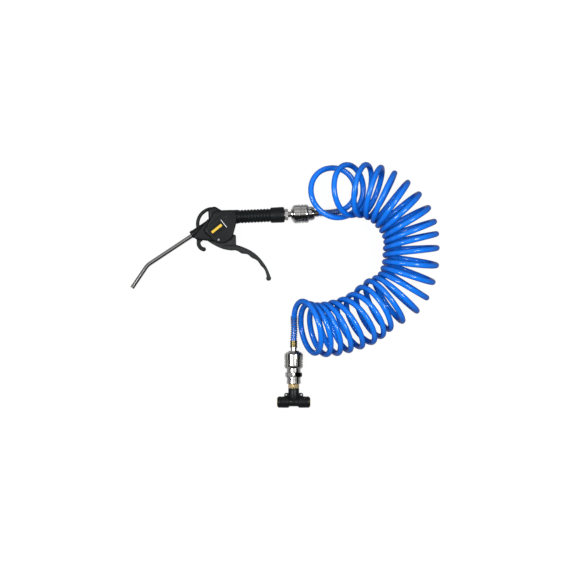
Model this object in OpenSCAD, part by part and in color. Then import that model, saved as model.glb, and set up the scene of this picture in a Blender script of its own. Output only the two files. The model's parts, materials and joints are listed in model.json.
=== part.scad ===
// Air cleaning set for a vehicle cab: blow gun, spiral hose, two quick couplers and a push-in tee.
// Millimetres. The set lies flat on Z = 0 and +Z is up. +X runs along the grip, from head to hose.
// The origin is the middle of the lower flat side of the round gun head.

/* [Gun head] */
// Diameter of the round head
head_d = 35.2; // [33:0.2:37]
// Thickness of the head
head_t = 26; // [25:0.5:28]
// Height of the grip axis above the middle of the head
axis_y = 18.5; // [18:0.1:19.5]
// Rounding of the moulded edges
edge_r = 3; // [2:0.5:4]
// Thickness of the snout block, the hook and the loop root
snout_t = 18; // [17:0.5:20]
// Diameter of the snout round the nozzle
snout_d = 9.4; // [9:0.1:11]
// Length of the snout from the point where nozzle and grip axes cross
snout_len = 42.5; // [41:0.5:46]
// Angle between nozzle and grip axes
nozzle_tilt = 31; // [29:0.5:33]

/* [Loop and hook] */
// Outer radius of the hanging loop
loop_r = 24; // [23.5:0.1:25]
// Width of the loop's bar in the plane of the head
loop_w = 4.9; // [4:0.1:6]
// Thickness of the loop's bar
loop_t = 8; // [6:0.5:12]
// Middle radius of the hook
hook_r = 9.8; // [9.4:0.1:10.4]
// Width of the hook's bar in the plane of the head
hook_w = 5.2; // [4.6:0.1:5.8]
// Thickness of the hook's bar
hook_t = 10; // [8:0.5:14]

/* [Grip] */
// Diameter over the rings of the grip
grip_d = 18.8; // [18:0.1:20]
// Depth of the valleys between the rings
grip_valley = 0.8; // [0.4:0.1:1.2]
// Number of rings
grip_rings = 10; // [6:1:14]
// Place along X where the rings start
grip_x = 25; // [24:0.5:30]
// Length of the ringed part
grip_len = 45; // [40:1:60]
// Diameter of the end collar
collar_d = 22; // [21:0.1:24]
// Length of the end collar
collar_len = 19.2; // [17:0.2:26]
// Diameter of the air passage in the grip
passage_d = 8; // [6:0.5:9]

/* [Nozzle] */
// Outer diameter of the nozzle tube
nozzle_d = 6; // [5.5:0.1:6.4]
// Wall of the nozzle tube
nozzle_wall = 1; // [0.6:0.1:1.4]
// Length of the nozzle from the axis crossing to the bend
nozzle_len = 116; // [100:1:140]
// Length of the nozzle beyond the bend
nozzle_tip_len = 38.5; // [25:0.5:60]
// Bend angle of the nozzle
nozzle_bend = 22.5; // [10:0.5:35]
// Bend radius of the nozzle
nozzle_bend_r = 25; // [20:1:40]
// Length of the nozzle that sits in the snout's socket
nozzle_socket = 17.5; // [16:0.5:18.5]

/* [Lever and valve] */
// Lever pin along X
pin_x = -4; // [-4.5:0.1:-3.5]
// Lever pin along Y
pin_y = -12.6; // [-13:0.1:-12.2]
// Diameter of the lever pin
pin_d = 3.2; // [2.6:0.1:3.6]
// Radius of the lever's hub round the pin
hub_r = 6.4; // [5.6:0.1:6.8]
// Thickness of the lever inside the head's slot
web_t = 12; // [10:0.5:13]
// Width of the lever's finger rest
finger_w = 17; // [15:0.5:20]
// Distance of the valve stem from the lever pin, along the grip
stem_arm = 14.1; // [13.5:0.1:14.6]
// Diameter of the valve stem
stem_d = 4; // [3:0.1:4.4]
// Diameter of the valve pocket
valve_d = 12; // [11.6:0.1:12.2]
// Bore of the valve seat
seat_d = 6.4; // [5.6:0.1:7]
// Wire of the poppet spring
valve_wire = 0.9; // [0.7:0.05:1]

/* [Plugs] */
// Diameter of the plug's neck
neck_d = 8.2; // [7.6:0.1:8.4]
// Diameter of the plug's locking bulge
bulge_d = 11; // [10.4:0.1:11.2]
// Diameter of the plug's nose
nose_d = 8.4; // [8:0.1:8.8]
// Bore through the plugs
plug_bore = 5; // [4:0.1:5.6]
// Width across flats of the gun plug's hexagon
plug_hex = 14; // [13:0.5:16]
// Thickness of the gun plug's hexagon
plug_hex_h = 4.5; // [3:0.1:8]
// Visible length of the neck in front of each coupler
neck_len = 5.8; // [4.5:0.1:10]
// Diameter of the plug's thread in the grip insert
plug_thread = 12.6; // [11.4:0.1:13]

/* [Couplers] */
// Diameter of the locking sleeve
sleeve_d = 26; // [25.4:0.1:28]
// Length of the locking sleeve
sleeve_len = 23; // [22:0.2:24.6]
// Travel of the locking sleeve
sleeve_travel = 4.3; // [4:0.1:4.5]
// Diameter of the rear part of the coupler's body
rear_d = 19.8; // [18.6:0.1:21]
// Overall length from the sleeve's front to the end of the body
coupler_len = 28.4; // [28:0.1:31]
// Diameter of the locking balls
ball_d = 3; // [2.6:0.1:3.1]
// Number of locking balls
ball_count = 6; // [4:1:8]
// Wire of the sleeve springs
sleeve_wire = 1; // [0.8:0.1:1.1]
// Wire of the check-valve springs
check_wire = 0.7; // [0.5:0.1:0.8]
// Diameter of the threads behind the couplers
tail_thread = 14; // [13.6:0.1:14.6]

/* [Hose] */
// Outer diameter of the hose
hose_d = 8; // [7.6:0.1:8.2]
// Radius of the coil, from its axis to the middle of the hose
coil_r = 36; // [34:0.5:37]
// Number of turns
coil_turns = 24; // [20:1:24]
// Wire of the bend guards
guard_wire = 0.9; // [0.7:0.1:1]
// Turns of wire in each bend guard
guard_turns = 12; // [8:1:14]
// Length of the ferrule at the tee end
ferrule_len = 9.3; // [7:0.1:9.6]
// Wall of each ferrule
ferrule_wall = 0.9; // [0.6:0.1:1.2]

/* [Tee] */
// Turn of the tee end about Z, from -Y
tee_turn = -2.5; // [-4:0.5:0]
// Width across flats of the adapter's hexagon
adapter_hex = 22; // [21:0.5:24]
// Turn of the adapter's hexagon about its axis
adapter_turn = 8.5; // [0:0.5:30]
// Diameter of the adapter's round socket
socket_d = 19.6; // [18:0.1:20.6]
// Thickness of the adapter's hexagon
adapter_hex_h = 6.6; // [5:0.1:10]
// Length of the adapter's round socket
socket_len = 9.7; // [9:0.1:14]
// Width across flats of the stud's hexagon
stud_hex = 15; // [14:0.5:17]
// Thickness of the stud's hexagon
stud_hex_h = 5.6; // [4:0.1:8]
// Diameter of the stud's thread
stud_thread = 13; // [12:0.1:13.4]
// Diameter of the stud's swivel journal
journal_d = 10; // [9:0.1:10.4]
// Diameter of the tee's leg
leg_d = 15.2; // [14.6:0.1:17]
// Distance from the stud's hexagon to the run's axis
leg_len = 19.7; // [19:0.1:24]
// Diameter of the tee's barrels
barrel_d = 16; // [15.2:0.1:17]
// Distance of the floor of each barrel's mouth from the middle of the tee
barrel_len = 21; // [20.4:0.1:28]
// Depth of the mouth round each collet's rim
mouth_depth = 1.4; // [0.8:0.1:1.8]
// Outer diameter of the tube that the ports take
tube_d = 8; // [7.6:0.1:8.2]
// Travel of the release collets
collet_travel = 1; // [0.6:0.1:1.1]
// Distance of each ear's hole from the leg's axis
ear_x = 10.6; // [10:0.1:11.4]
// Diameter of the ears' holes
ear_hole = 3.2; // [2.6:0.1:3.4]
// Thickness of the ears
ear_t = 5; // [4:0.5:8]

/* [Fits] */
// Radial clearance between a moving piece and what guides it
run_gap = 0.05; // [0.03:0.01:0.08]
// Radial clearance of a piece that is fixed in another
seat_gap = 0.05; // [0.03:0.01:0.08]
// Clearance between faces of moving pieces
face_gap = 0.3; // [0.2:0.05:0.4]

/* [Hidden] */
$fn = 48;

// height of every axis above the ground: sleeves and head touch it
lay_z = max(head_t, sleeve_d) / 2;

// grip and plug, along X
grip_end_x = grip_x + grip_len;
collar_end_x = grip_end_x + collar_len;
washer_t = 0.6;
neck_x = collar_end_x + washer_t + plug_hex_h;
gun_coupler_x = neck_x + neck_len;
insert_len = 15;
insert_r = plug_thread / 2 + 1.6;
root_d = grip_d + 0.8;

// crossing of nozzle and grip axes
cross_x = -5.7;
// corner of the head's flat side, between the boss and the snout
waist = [-11.4, 8];
boss_t = 20;
nozzle_seat = snout_len - nozzle_socket;
// hanging loop and hook: middle of each arc and where it runs from and to
loop_c = [-11, 9.7];
loop_from = 92;
loop_to = 189;
hook_c = [-22.8, -16];
hook_from = 150;
hook_to = 252;

// valve, along Y
valve_x = pin_x + stem_arm;
slot_top = -1.2;
slot_w = web_t + 2 * face_gap;
lift = 2.95;
gland_top = 5;
duct_y = 7;
duct_d = 5;
seat_y = 9.2;
seat_t = 2.8;
poppet_t = 2.6;
pocket_top = axis_y + 7.2;
stem_ring_y = 1.2;
ring_t = 2;
// the lever's boss that lifts the stem
push_r = 4;
push_drop = 1.5;
stem_low = pin_y - push_drop + push_r + face_gap;

// inside of a coupler, along its own axis from the sleeve's front
body_front = 1.5;
body_bore = bulge_d / 2 + run_gap;
ball_s = 7.2;
ball_reach = neck_d / 2 + run_gap + ball_d / 2;
tube_r = ball_reach + ball_d / 2 - 0.05;
land_r = ball_reach + ball_d / 2 + run_gap;
relief_r = bulge_d / 2 + ball_d + 0.3;
land_front = ball_s - ball_d / 2 - 0.9;
land_back = ball_s + ball_d / 2 + 1.7;
clip_t = 1;
clip_s = land_front - face_gap - clip_t;
clip_r = tube_r - 0.7;
bulge_s = ball_s + ball_d / 2 - 0.1;
bulge_end = bulge_s + 4;
nose_end = bulge_end + 4.4;
seal_s = bulge_end + 0.6;
seal_t = 2.6;
pocket_r = sleeve_d / 2 - 2.1;
flange_s = 19.8;
flange_end = sleeve_len;
chamber_r = tube_r - 1.4;
chamber_s = nose_end - 0.4;
tail_s = coupler_len - 4;
crown_s = nose_end + 0.2;
crown_len = 2;
disc_s = crown_s + crown_len;
disc_t = 1.4;
pip_r = 1.5;
check_r = chamber_r - 1;

// ferrules and hose ends, behind each plug or adapter
ferrule_r = hose_d / 2 + seat_gap;
shank_len = 4.8;
flange_t = 1;
adapter_rim = 3.1;
gun_tail_x = gun_coupler_x + coupler_len + adapter_rim;
gun_ferrule_x = gun_tail_x + shank_len + 0.6;
tee_ferrule_s = -neck_len - flange_t - ferrule_len;
guard_r = hose_d / 2 + guard_wire / 2 + 0.12;
guard_start = guard_wire / 2 + 0.1;

// tee end: its own axis starts at the sleeve's front, and s runs towards the tee
tee_x = 93.7;
tee_y = -173.7;
adapter_s = coupler_len;
socket_s = adapter_s + adapter_hex_h;
socket_end = socket_s + socket_len;
stud_s = socket_end;
leg_s = stud_s + stud_hex_h;
leg_front = leg_s + face_gap;
run_s = leg_s + leg_len;
journal_len = 8;
ear_r = ear_hole / 2 + 1.1;
ear_web = 3.3;
ear_s = run_s - barrel_d / 2 - ear_r + 0.5;
waist_r = 6;
waist_w = 6;
collet_r = tube_d / 2 + run_gap;
collet_wall = 1.05;
cartridge_in = collet_r + collet_wall + run_gap;
cartridge_out = cartridge_in + 1.2;
stop_q = 6;
seal_q = 9.4;
seal_room = 2.2;
grip_q = seal_q + seal_room;
grip_room = 1;
cartridge_q = grip_q + grip_room + 0.1;
collet_q = cartridge_q + collet_travel;
rim_q = barrel_len + collet_travel + face_gap;
rim_t = 1;
rim_r = cartridge_out - 0.2;
mouth_r = rim_r + face_gap + 0.02;
mouth_q = barrel_len + mouth_depth;

// Stations of the coil, every second turn from the tee end to the gun end:
// [x, y, direction outwards, forward lean, lift off the ground]
STATIONS = [
    [111.5, -138.5, -82, 25, 8.5],
    [134, -144.1, -74.5, 24, 0],
    [160.5, -140.6, -65.6, 18.8, 0],
    [190, -131.2, -60.1, 23.6, 0],
    [215, -113.2, -61.7, 16.8, 0],
    [244.5, -96, -41.4, 7.1, 0],
    [259.1, -67.5, -18.8, 1.3, 0],
    [263.2, -34.5, 4, 3, 0],
    [261.8, -8, 19.6, 1.7, 0],
    [246.8, 19.2, 41.1, 1, 0],
    [223.5, 40, 62.2, 9.7, 0],
    [192.6, 48.4, 75.2, 29.1, 0],
    [153.5, 45.5, 94, 78, 0]
];
// Route of the hose from the last turn to the gun's adapter
GUN_ROUTE = [
    [158, 81.6, 12.4], [169.5, 79.8, 9.4], [179.8, 73.8, 7], [187, 64.6, 5.4],
    [190.6, 53.6, 4.6], [190, 42.3, 4.2], [185.8, 32.2, 4.4], [178.3, 24.6, 5.6],
    [169, 20, 7.8], [159.5, 18.4, 10.6], [151.5, 18.5, 12.5], [144, 18.5, 13]
];
// Route of the hose from the plug at the tee end to the first turn
TEE_ROUTE = [[94.5, -155, 13], [94.9, -149, 12.9]];
// turns at each end that lie outside the coil's solid, and the part of the last turn that swings wide
loose_turns = 0.6;
swing_turns = 0.3;

// ---------- helpers ----------

function unit(v) = v / norm(v);

// smooth curve through the points p, at place u from 0 to len(p) - 1
function curve(p, u) =
    let (i = min(floor(u), len(p) - 2), t = u - i)
    let (a = p[max(i - 1, 0)], b = p[i], c = p[i + 1], d = p[min(i + 2, len(p) - 1)])
    0.5 * (2 * b + (c - a) * t + (2 * a - 5 * b + 4 * c - d) * t * t + (3 * b - a - 3 * c + d) * t * t * t);

function smooth(p, n) = [for (k = [0:n]) curve(p, k * (len(p) - 1) / n)];

// direction of travel at point k of a list
function heading(p, k) = unit(p[min(k + 1, len(p) - 1)] - p[max(k - 1, 0)]);

// one ring of points of radius r round p, square to the heading t
function ring(p, t, side, r, n) =
    let (b = unit(cross(t, side)), m = cross(b, t))
    [for (i = [0:n - 1]) p + r * (cos(i * 360 / n) * m + sin(i * 360 / n) * b)];

// closed solid through a list of rings
module loft(rings) {
    n = len(rings[0]);
    m = len(rings);
    polyhedron(
        points = [for (r = rings) each r],
        faces = concat(
            [[for (i = [0:n - 1]) i]],
            [[for (i = [n - 1:-1:0]) (m - 1) * n + i]],
            [for (j = [1:m - 1]) for (i = [0:n - 1])
                [(j - 1) * n + i, j * n + i, j * n + (i + 1) % n]],
            [for (j = [1:m - 1]) for (i = [0:n - 1])
                [(j - 1) * n + i, j * n + (i + 1) % n, (j - 1) * n + (i + 1) % n]]
        ),
        convexity = 6
    );
}

// round rod along points p, with one side vector for each point
module rod(p, sides, r, n) {
    loft([for (k = [0:len(p) - 1]) ring(p[k], heading(p, k), sides[k], r, n)]);
}

// compression spring along +X from x = a to x = b
module spring(a, b, mean_r, wire, turns) {
    steps = turns * 12;
    turn = [for (k = [0:steps]) 360 * turns * k / steps];
    side = [for (f = turn) [0, cos(f), sin(f)]];
    place = [for (k = [0:steps]) [a + wire / 2 + (b - a - wire) * k / steps, 0, 0] + mean_r * side[k]];
    rod(place, side, wire / 2, 5);
}

// spring wound round a curved line p, seen in the frame of the line
module wound(p, mean_r, wire, turns) {
    steps = turns * 10;
    place = [for (k = [0:steps]) curve(p, k * (len(p) - 1) / steps)];
    side = [for (k = [0:steps])
        let (t = heading(place, k), w = unit(cross(t, [0, 0, 1])), v = cross(w, t))
        let (f = 360 * turns * k / steps)
        cos(f) * w + sin(f) * v];
    line = [for (k = [0:steps]) place[k] + mean_r * side[k]];
    rod(line, side, wire / 2, 5);
}

// solid of revolution round +X; the profile's points are [radius, place]
module turned(profile) rotate([0, 90, 0]) rotate_extrude() polygon(profile);

// plain ring round +X, from x = a to x = b
module sleeve_x(a, b, inner, outer) turned([[inner, a], [outer, a], [outer, b], [inner, b]]);

// bore or rod round +X
module rod_x(a, b, r) translate([a, 0, 0]) rotate([0, 90, 0]) cylinder(h = b - a, r = r);

// rubber ring round +X
module rubber(a, b, inner, outer) {
    c = min(0.4, (b - a) / 4);
    turned([
        [inner, a + c], [inner + c, a], [outer - c, a], [outer, a + c],
        [outer, b - c], [outer - c, b], [inner + c, b], [inner, b - c]
    ]);
}

// hexagon with turned corners, its axis along +X and a corner up
module hexagon(a, b, flats) {
    corner = flats / sqrt(3);
    intersection() {
        translate([a, 0, 0]) rotate([0, 90, 0]) cylinder(h = b - a, r = corner, $fn = 6);
        turned([[0, a], [flats / 2, a], [corner, a + 0.8], [corner, b - 0.8], [flats / 2, b], [0, b]]);
    }
}

// flat round disc with rounded edges, for the moulded shapes
module pebble(c, r, t) {
    e = min(edge_r, r - 0.5);
    translate([c[0], c[1], lay_z - t / 2])
        rotate_extrude($fn = 32)
            polygon(concat(
                [[0, 0]],
                [for (a = [0:30:90]) [r - e + e * sin(a), e - e * cos(a)]],
                [for (a = [0:30:90]) [r - e + e * cos(a), t - e + e * sin(a)]],
                [[0, t]]
            ));
}

module on_grip_axis() translate([0, axis_y, lay_z]) children();

module on_gun_coupler() translate([gun_coupler_x, axis_y, lay_z]) children();

module on_tee_end() translate([tee_x, tee_y, lay_z]) rotate([0, 0, tee_turn - 90]) children();

// local +X runs from the axis crossing out along the nozzle
module on_nozzle() translate([cross_x, axis_y, lay_z]) rotate([0, 0, 180 + nozzle_tilt]) children();

// local +X runs up the valve, so that x is the row's Y
module on_valve() translate([valve_x, 0, lay_z]) rotate([0, 0, 90]) children();

// local +X runs out of a port of the tee: way is 1 towards +X of the row and -1 the other way
module on_port(way) on_tee_end() translate([run_s, 0, 0]) rotate([0, 0, 90 * way]) children();

// ---------- gun ----------

// flat sides with the label's place, the root of the grip, the loop's boss and the snout's block
module head_moulding() {
    hull() {
        pebble([0, 0], head_d / 2, head_t);
        pebble([14, axis_y], root_d / 2, head_t - 4);
        pebble([-4, 20], 8.5, head_t);
        pebble(waist, 5.5, head_t);
        pebble([-18, 1], 6, head_t);
    }
    // boss that carries the hanging loop
    hull() {
        pebble([-11.3, 27.6], 5.6, boss_t);
        pebble([-8.4, 28.3], 5.6, boss_t);
        pebble([-2.5, 24.5], 5.5, boss_t);
        pebble(waist, 5.5, boss_t);
    }
    hull() {
        pebble([-16, axis_y - (16 + cross_x) * tan(nozzle_tilt)], snout_d / 2, snout_t);
        pebble([-33.6, -6.6], 4.4, snout_t - 4);
        pebble([-22, -2], 7.5, snout_t);
        pebble([-10, -6], 9, snout_t);
    }
}

// round nozzle snout with a chamfered mouth
module snout() {
    on_nozzle()
        turned([
            [0, 0], [snout_d / 2, 0], [snout_d / 2, snout_len - 1],
            [snout_d / 2 - 1, snout_len], [0, snout_len]
        ]);
}

// bar of a loop or hook: an arc of a rounded bar round the point c
module bar_arc(c, mid_r, w, t, from, to) {
    e = min(1.6, w / 3);
    translate([c[0], c[1], lay_z])
        rotate([0, 0, from])
            rotate_extrude(angle = to - from)
                translate([mid_r, 0])
                    polygon([
                        [-w / 2, e - t / 2], [e - w / 2, -t / 2], [w / 2 - e, -t / 2], [w / 2, e - t / 2],
                        [w / 2, t / 2 - e], [w / 2 - e, t / 2], [e - w / 2, t / 2], [-w / 2, t / 2 - e]
                    ]);
}

module hanging_loop() bar_arc(loop_c, loop_r - loop_w / 2, loop_w, loop_t, loop_from, loop_to);

module hook() {
    bar_arc(hook_c, hook_r, hook_w, hook_t, hook_from, hook_to);
    tip = hook_c + hook_r * [cos(hook_to), sin(hook_to)];
    translate([tip[0], tip[1], lay_z - hook_t / 2 + 0.6]) cylinder(h = hook_t - 1.2, d = hook_w);
    translate([tip[0], tip[1], lay_z - hook_t / 2]) cylinder(h = hook_t, d = hook_w - 1.4);
}

// grip with round rings, then the end collar
module grip() {
    pitch = grip_len / grip_rings;
    r = grip_d / 2;
    on_grip_axis()
        turned(concat(
            [[0, -2], [root_d / 2, -2], [root_d / 2, grip_x - 2], [r, grip_x]],
            [for (k = [0:grip_rings - 1]) each [
                [r, grip_x + pitch * (k + 0.3)], [r - grip_valley, grip_x + pitch * (k + 0.5)],
                [r - grip_valley, grip_x + pitch * (k + 0.75)], [r, grip_x + pitch * (k + 0.95)]
            ]],
            [
                [r, grip_end_x], [collar_d / 2 - 0.9, grip_end_x], [collar_d / 2 - 0.3, grip_end_x + 0.6],
                [collar_d / 2, collar_end_x - 2], [collar_d / 2 - 1.6, collar_end_x], [0, collar_end_x]
            ]
        ));
}

// slot in the head that takes the lever's web
module lever_slot() {
    translate([0, 0, lay_z - slot_w / 2])
        linear_extrude(slot_w)
            polygon([
                [-25, -12], [-25, -7.4], [-14, -4.2], [pin_x, slot_top], [28, slot_top], [28, -30], [-8, -30]
            ]);
}

module gun_body() {
    color([0.1, 0.105, 0.11])
    difference() {
        union() {
            head_moulding();
            snout();
            hanging_loop();
            hook();
            grip();
        }
        lever_slot();
        // air way: grip, duct and nozzle socket
        on_grip_axis() rod_x(valve_x, collar_end_x + 1, passage_d / 2);
        on_grip_axis() rod_x(collar_end_x - insert_len - seat_gap, collar_end_x + 1, insert_r + seat_gap);
        translate([cross_x + (duct_y - axis_y) / tan(nozzle_tilt), duct_y, lay_z])
            rod_x(0, valve_x - cross_x - (duct_y - axis_y) / tan(nozzle_tilt), duct_d / 2);
        on_nozzle() rod_x(nozzle_seat - 8, snout_len + 1, nozzle_d / 2 - nozzle_wall);
        on_nozzle() rod_x(nozzle_seat, snout_len + 1, nozzle_d / 2 + seat_gap);
        on_nozzle() rod_x(nozzle_seat + 2, nozzle_seat + 2 + ring_t + 0.2, nozzle_d / 2 + 1.2);
        // valve pocket, open to the slot
        on_valve() rod_x(slot_top - 1, pocket_top, valve_d / 2);
        // lever pin
        translate([pin_x, pin_y, -1]) cylinder(h = 2 * lay_z + 2, d = pin_d + 2 * seat_gap);
    }
}

// middle line of the nozzle tube, longer by "over" at both ends
function nozzle_line(over) =
    let (tangent = nozzle_bend_r * tan(nozzle_bend / 2), mid = [nozzle_len - tangent, nozzle_bend_r, 0])
    concat(
        [[nozzle_seat + seat_gap - over, 0, 0], [nozzle_len - tangent - 1, 0, 0]],
        [for (k = [0:6]) mid + nozzle_bend_r * [sin(nozzle_bend * k / 6), -cos(nozzle_bend * k / 6), 0]],
        [[nozzle_len, 0, 0] + (nozzle_tip_len + over) * [cos(nozzle_bend), sin(nozzle_bend), 0]]
    );

// steel air tube, bent once
module nozzle_tube() {
    sides = [for (p = nozzle_line(0)) [0, 0, 1]];
    color("silver")
    on_nozzle()
    difference() {
        rod(nozzle_line(0), sides, nozzle_d / 2, 24);
        rod(nozzle_line(1), sides, nozzle_d / 2 - nozzle_wall, 24);
    }
}

module nozzle_seal() {
    color([0.08, 0.08, 0.08])
    on_nozzle()
        rubber(nozzle_seat + 2.1, nozzle_seat + 2.1 + ring_t, nozzle_d / 2 + seat_gap, nozzle_d / 2 + 1.15);
}

// brass insert moulded into the grip end, with rings that hold it
module thread_insert() {
    color("goldenrod")
    on_grip_axis()
    difference() {
        rod_x(collar_end_x - insert_len, collar_end_x - 0.2, insert_r);
        rod_x(collar_end_x - insert_len - 1, collar_end_x + 1, passage_d / 2);
        rod_x(collar_end_x - 11, collar_end_x + 1, plug_thread / 2 + seat_gap);
        sleeve_x(collar_end_x - 13.4, collar_end_x - 12.2, insert_r - 0.7, insert_r + 1);
        sleeve_x(collar_end_x - 4.4, collar_end_x - 3.2, insert_r - 0.7, insert_r + 1);
    }
}

module valve_gland() {
    color("goldenrod")
    on_valve()
    difference() {
        rod_x(slot_top + 0.2, gland_top, valve_d / 2 - seat_gap);
        rod_x(slot_top - 1, gland_top + 1, stem_d / 2 + run_gap);
        rod_x(stem_ring_y, stem_ring_y + ring_t + 0.2, stem_d / 2 + 1.6);
    }
}

module stem_seal() {
    color([0.08, 0.08, 0.08])
    on_valve() rubber(stem_ring_y + 0.1, stem_ring_y + 0.1 + ring_t, stem_d / 2 + run_gap, stem_d / 2 + 1.5);
}

module valve_seat() {
    color("goldenrod")
    on_valve()
        turned([
            [seat_d / 2, seat_y], [valve_d / 2 - seat_gap, seat_y],
            [valve_d / 2 - seat_gap, seat_y + seat_t],
            [seat_d / 2 + 0.9, seat_y + seat_t], [seat_d / 2, seat_y + seat_t - 0.4]
        ]);
}

poppet_y = seat_y + seat_t + 0.05;
spring_y = poppet_y + poppet_t;

module valve_stem() {
    color("silver")
    on_valve()
        turned([
            [0, stem_low], [stem_d / 2 - 0.6, stem_low], [stem_d / 2, stem_low + 0.6],
            [stem_d / 2, poppet_y - 0.02], [0, poppet_y - 0.02]
        ]);
}

module valve_poppet() {
    color([0.12, 0.12, 0.12])
    on_valve()
        turned([
            [0, poppet_y], [seat_d / 2 + 1.3, poppet_y], [seat_d / 2 + 1.6, poppet_y + 0.6],
            [seat_d / 2 + 1.6, spring_y], [1.7, spring_y], [1.3, spring_y + 2.4], [0, spring_y + 2.4]
        ]);
}

module poppet_spring() {
    color("silver")
    on_valve() spring(spring_y + 0.05, pocket_top - 0.05, 3.2, valve_wire, 4);
}

// upper and lower edges of the lever, from its front end to the ball
LEVER_TOP = [
    [-21.5, -9.8], [-12, -9], [-2, -15], [8, -18], [17, -19.6], [23, -21.6], [30, -24.4],
    [39.5, -29.4], [49, -37], [56.5, -46.5], [62, -56], [66, -67]
];
LEVER_LOW = [
    [-22.6, -11.4], [-11, -19.6], [1, -25.6], [12, -28.2], [17.6, -28.2], [22, -29.8], [26.8, -33],
    [31, -33.8], [35.5, -35], [41, -39.8], [45, -41.8], [48.9, -44.6], [53, -51], [56, -54.4],
    [58.8, -59], [60.8, -67.5]
];
ball_c = [63.2, -69.4];
lever_ball = 3.5;

module lever_outline() {
    low = smooth(LEVER_LOW, 60);
    polygon(concat(smooth(LEVER_TOP, 30), [for (k = [len(low) - 1:-1:0]) low[k]]));
    translate(ball_c) circle(lever_ball, $fn = 24);
}

// finger part of the lever: the outline right of and below the head's cheeks
module finger_outline() {
    intersection() {
        lever_outline();
        polygon([
            [-14, -40], [-14, -21.5], [0, -21.5], [12, -20.4], [21.4, -17], [80, -17], [80, -80], [10, -80]
        ]);
    }
}

module trigger_lever() {
    color([0.1, 0.105, 0.11])
    difference() {
        union() {
            translate([0, 0, lay_z - web_t / 2]) linear_extrude(web_t) {
                lever_outline();
                translate([pin_x, pin_y]) circle(hub_r);
                // boss that lifts the valve stem, and the heel behind the head
                translate([pin_x + stem_arm, pin_y - push_drop]) circle(push_r);
                polygon([[16.2, -6.6], [17, -6], [19.4, -6.6], [20.2, -8], [20, -22], [6, -22], [11, -15]]);
            }
            for (layer = [[finger_w / 2, 1.6], [finger_w / 2 - 0.6, 0.8], [finger_w / 2 - 1.4, 0]])
                translate([0, 0, lay_z - layer[0]])
                    linear_extrude(2 * layer[0]) offset(delta = -layer[1]) finger_outline();
        }
        translate([pin_x, pin_y, -1]) cylinder(h = 2 * lay_z + 2, d = pin_d + 2 * run_gap);
    }
}

module trigger_pin() {
    color("silver")
    translate([pin_x, pin_y, lay_z])
        rotate([0, -90, 0])
            turned([
                [0, 0.6 - lay_z], [pin_d / 2 - 0.3, 0.6 - lay_z], [pin_d / 2, 0.9 - lay_z],
                [pin_d / 2, lay_z - 0.9], [pin_d / 2 - 0.3, lay_z - 0.6], [0, lay_z - 0.6]
            ]);
}

// inside shape of every plug, in its coupler's own places
PLUG_NOSE = [
    [neck_d / 2, bulge_s], [bulge_d / 2, bulge_s + 0.8], [bulge_d / 2, bulge_end - 0.8],
    [nose_d / 2, bulge_end], [nose_d / 2, nose_end - 0.6], [nose_d / 2 - 0.6, nose_end],
    [plug_bore / 2, nose_end]
];

module gun_plug() {
    back = -neck_len - plug_hex_h - washer_t;
    color("silver")
    on_gun_coupler() {
        turned(concat(
            [
                [plug_bore / 2, back - 9], [plug_thread / 2 - 0.8, back - 9], [plug_thread / 2, back - 8.2],
                [plug_thread / 2, back + washer_t + 1], [neck_d / 2, back + washer_t + 1]
            ],
            PLUG_NOSE
        ));
        difference() {
            hexagon(back + washer_t, -neck_len, plug_hex);
            rod_x(back, -neck_len + 1, neck_d / 2 - 0.5);
        }
    }
}

module plug_washer() {
    color("gray")
    on_grip_axis()
        sleeve_x(collar_end_x, collar_end_x + washer_t, plug_thread / 2 + seat_gap, plug_thread / 2 + 1.4);
}

// ---------- quick coupler ----------

module coupler_body() {
    difference() {
        turned([
            [body_bore + 0.4, body_front], [tube_r - 0.4, body_front], [tube_r, body_front + 0.4],
            [tube_r, clip_s - 0.05], [clip_r, clip_s - 0.05], [clip_r, clip_s + clip_t + 0.05],
            [tube_r, clip_s + clip_t + 0.05], [tube_r, flange_s], [pocket_r - run_gap, flange_s],
            [pocket_r - run_gap, flange_end - 0.6], [rear_d / 2, flange_end],
            [rear_d / 2, coupler_len - 0.8], [rear_d / 2 - 0.8, coupler_len],
            [tail_thread / 2 + seat_gap, coupler_len],
            [tail_thread / 2 + seat_gap, tail_s], [chamber_r, tail_s], [chamber_r, chamber_s],
            [nose_d / 2 + run_gap, chamber_s], [nose_d / 2 + run_gap, seal_s + seal_t + 0.1],
            [nose_d / 2 + 2.1, seal_s + seal_t + 0.1], [nose_d / 2 + 2.1, seal_s - 0.1],
            [body_bore, seal_s - 0.1], [body_bore, body_front + 0.4]
        ]);
        for (k = [0:ball_count - 1])
            translate([ball_s, 0, 0])
                rotate([360 * (k + 0.5) / ball_count, 0, 0])
                    cylinder(h = tube_r + 1, d = ball_d + 2 * run_gap);
    }
}

// outer sleeve: chamfered front, two grip bands between grooves, rounded rear
module lock_sleeve() {
    r = sleeve_d / 2;
    groove = 0.7;
    turned([
        [relief_r, 0], [9.4, 0], [r - 0.7, 2.2], [r, 3.2],
        [r, 11.4], [r - groove, 11.8], [r - groove, 12.8], [r, 13.2],
        [r, 15.4], [r - groove, 15.8], [r - groove, 16.8], [r, 17.2],
        [r, sleeve_len - 3], [r - 0.5, sleeve_len - 1.6], [r - 1.5, sleeve_len], [pocket_r, sleeve_len],
        [pocket_r, land_back], [land_r, land_back], [land_r, land_front], [relief_r, land_front]
    ]);
}

module sleeve_spring() spring(land_back + 0.05, flange_s - 0.05, (tube_r + pocket_r) / 2, sleeve_wire, 3);

module lock_balls() {
    for (k = [0:ball_count - 1])
        rotate([360 * (k + 0.5) / ball_count, 0, 0])
            translate([ball_s, 0, ball_reach]) sphere(d = ball_d, $fn = 24);
}

module circlip() sleeve_x(clip_s, clip_s + clip_t, clip_r + seat_gap, relief_r - 0.3);

module plug_seal() rubber(seal_s, seal_s + seal_t, nose_d / 2 + run_gap, nose_d / 2 + 2);

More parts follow.
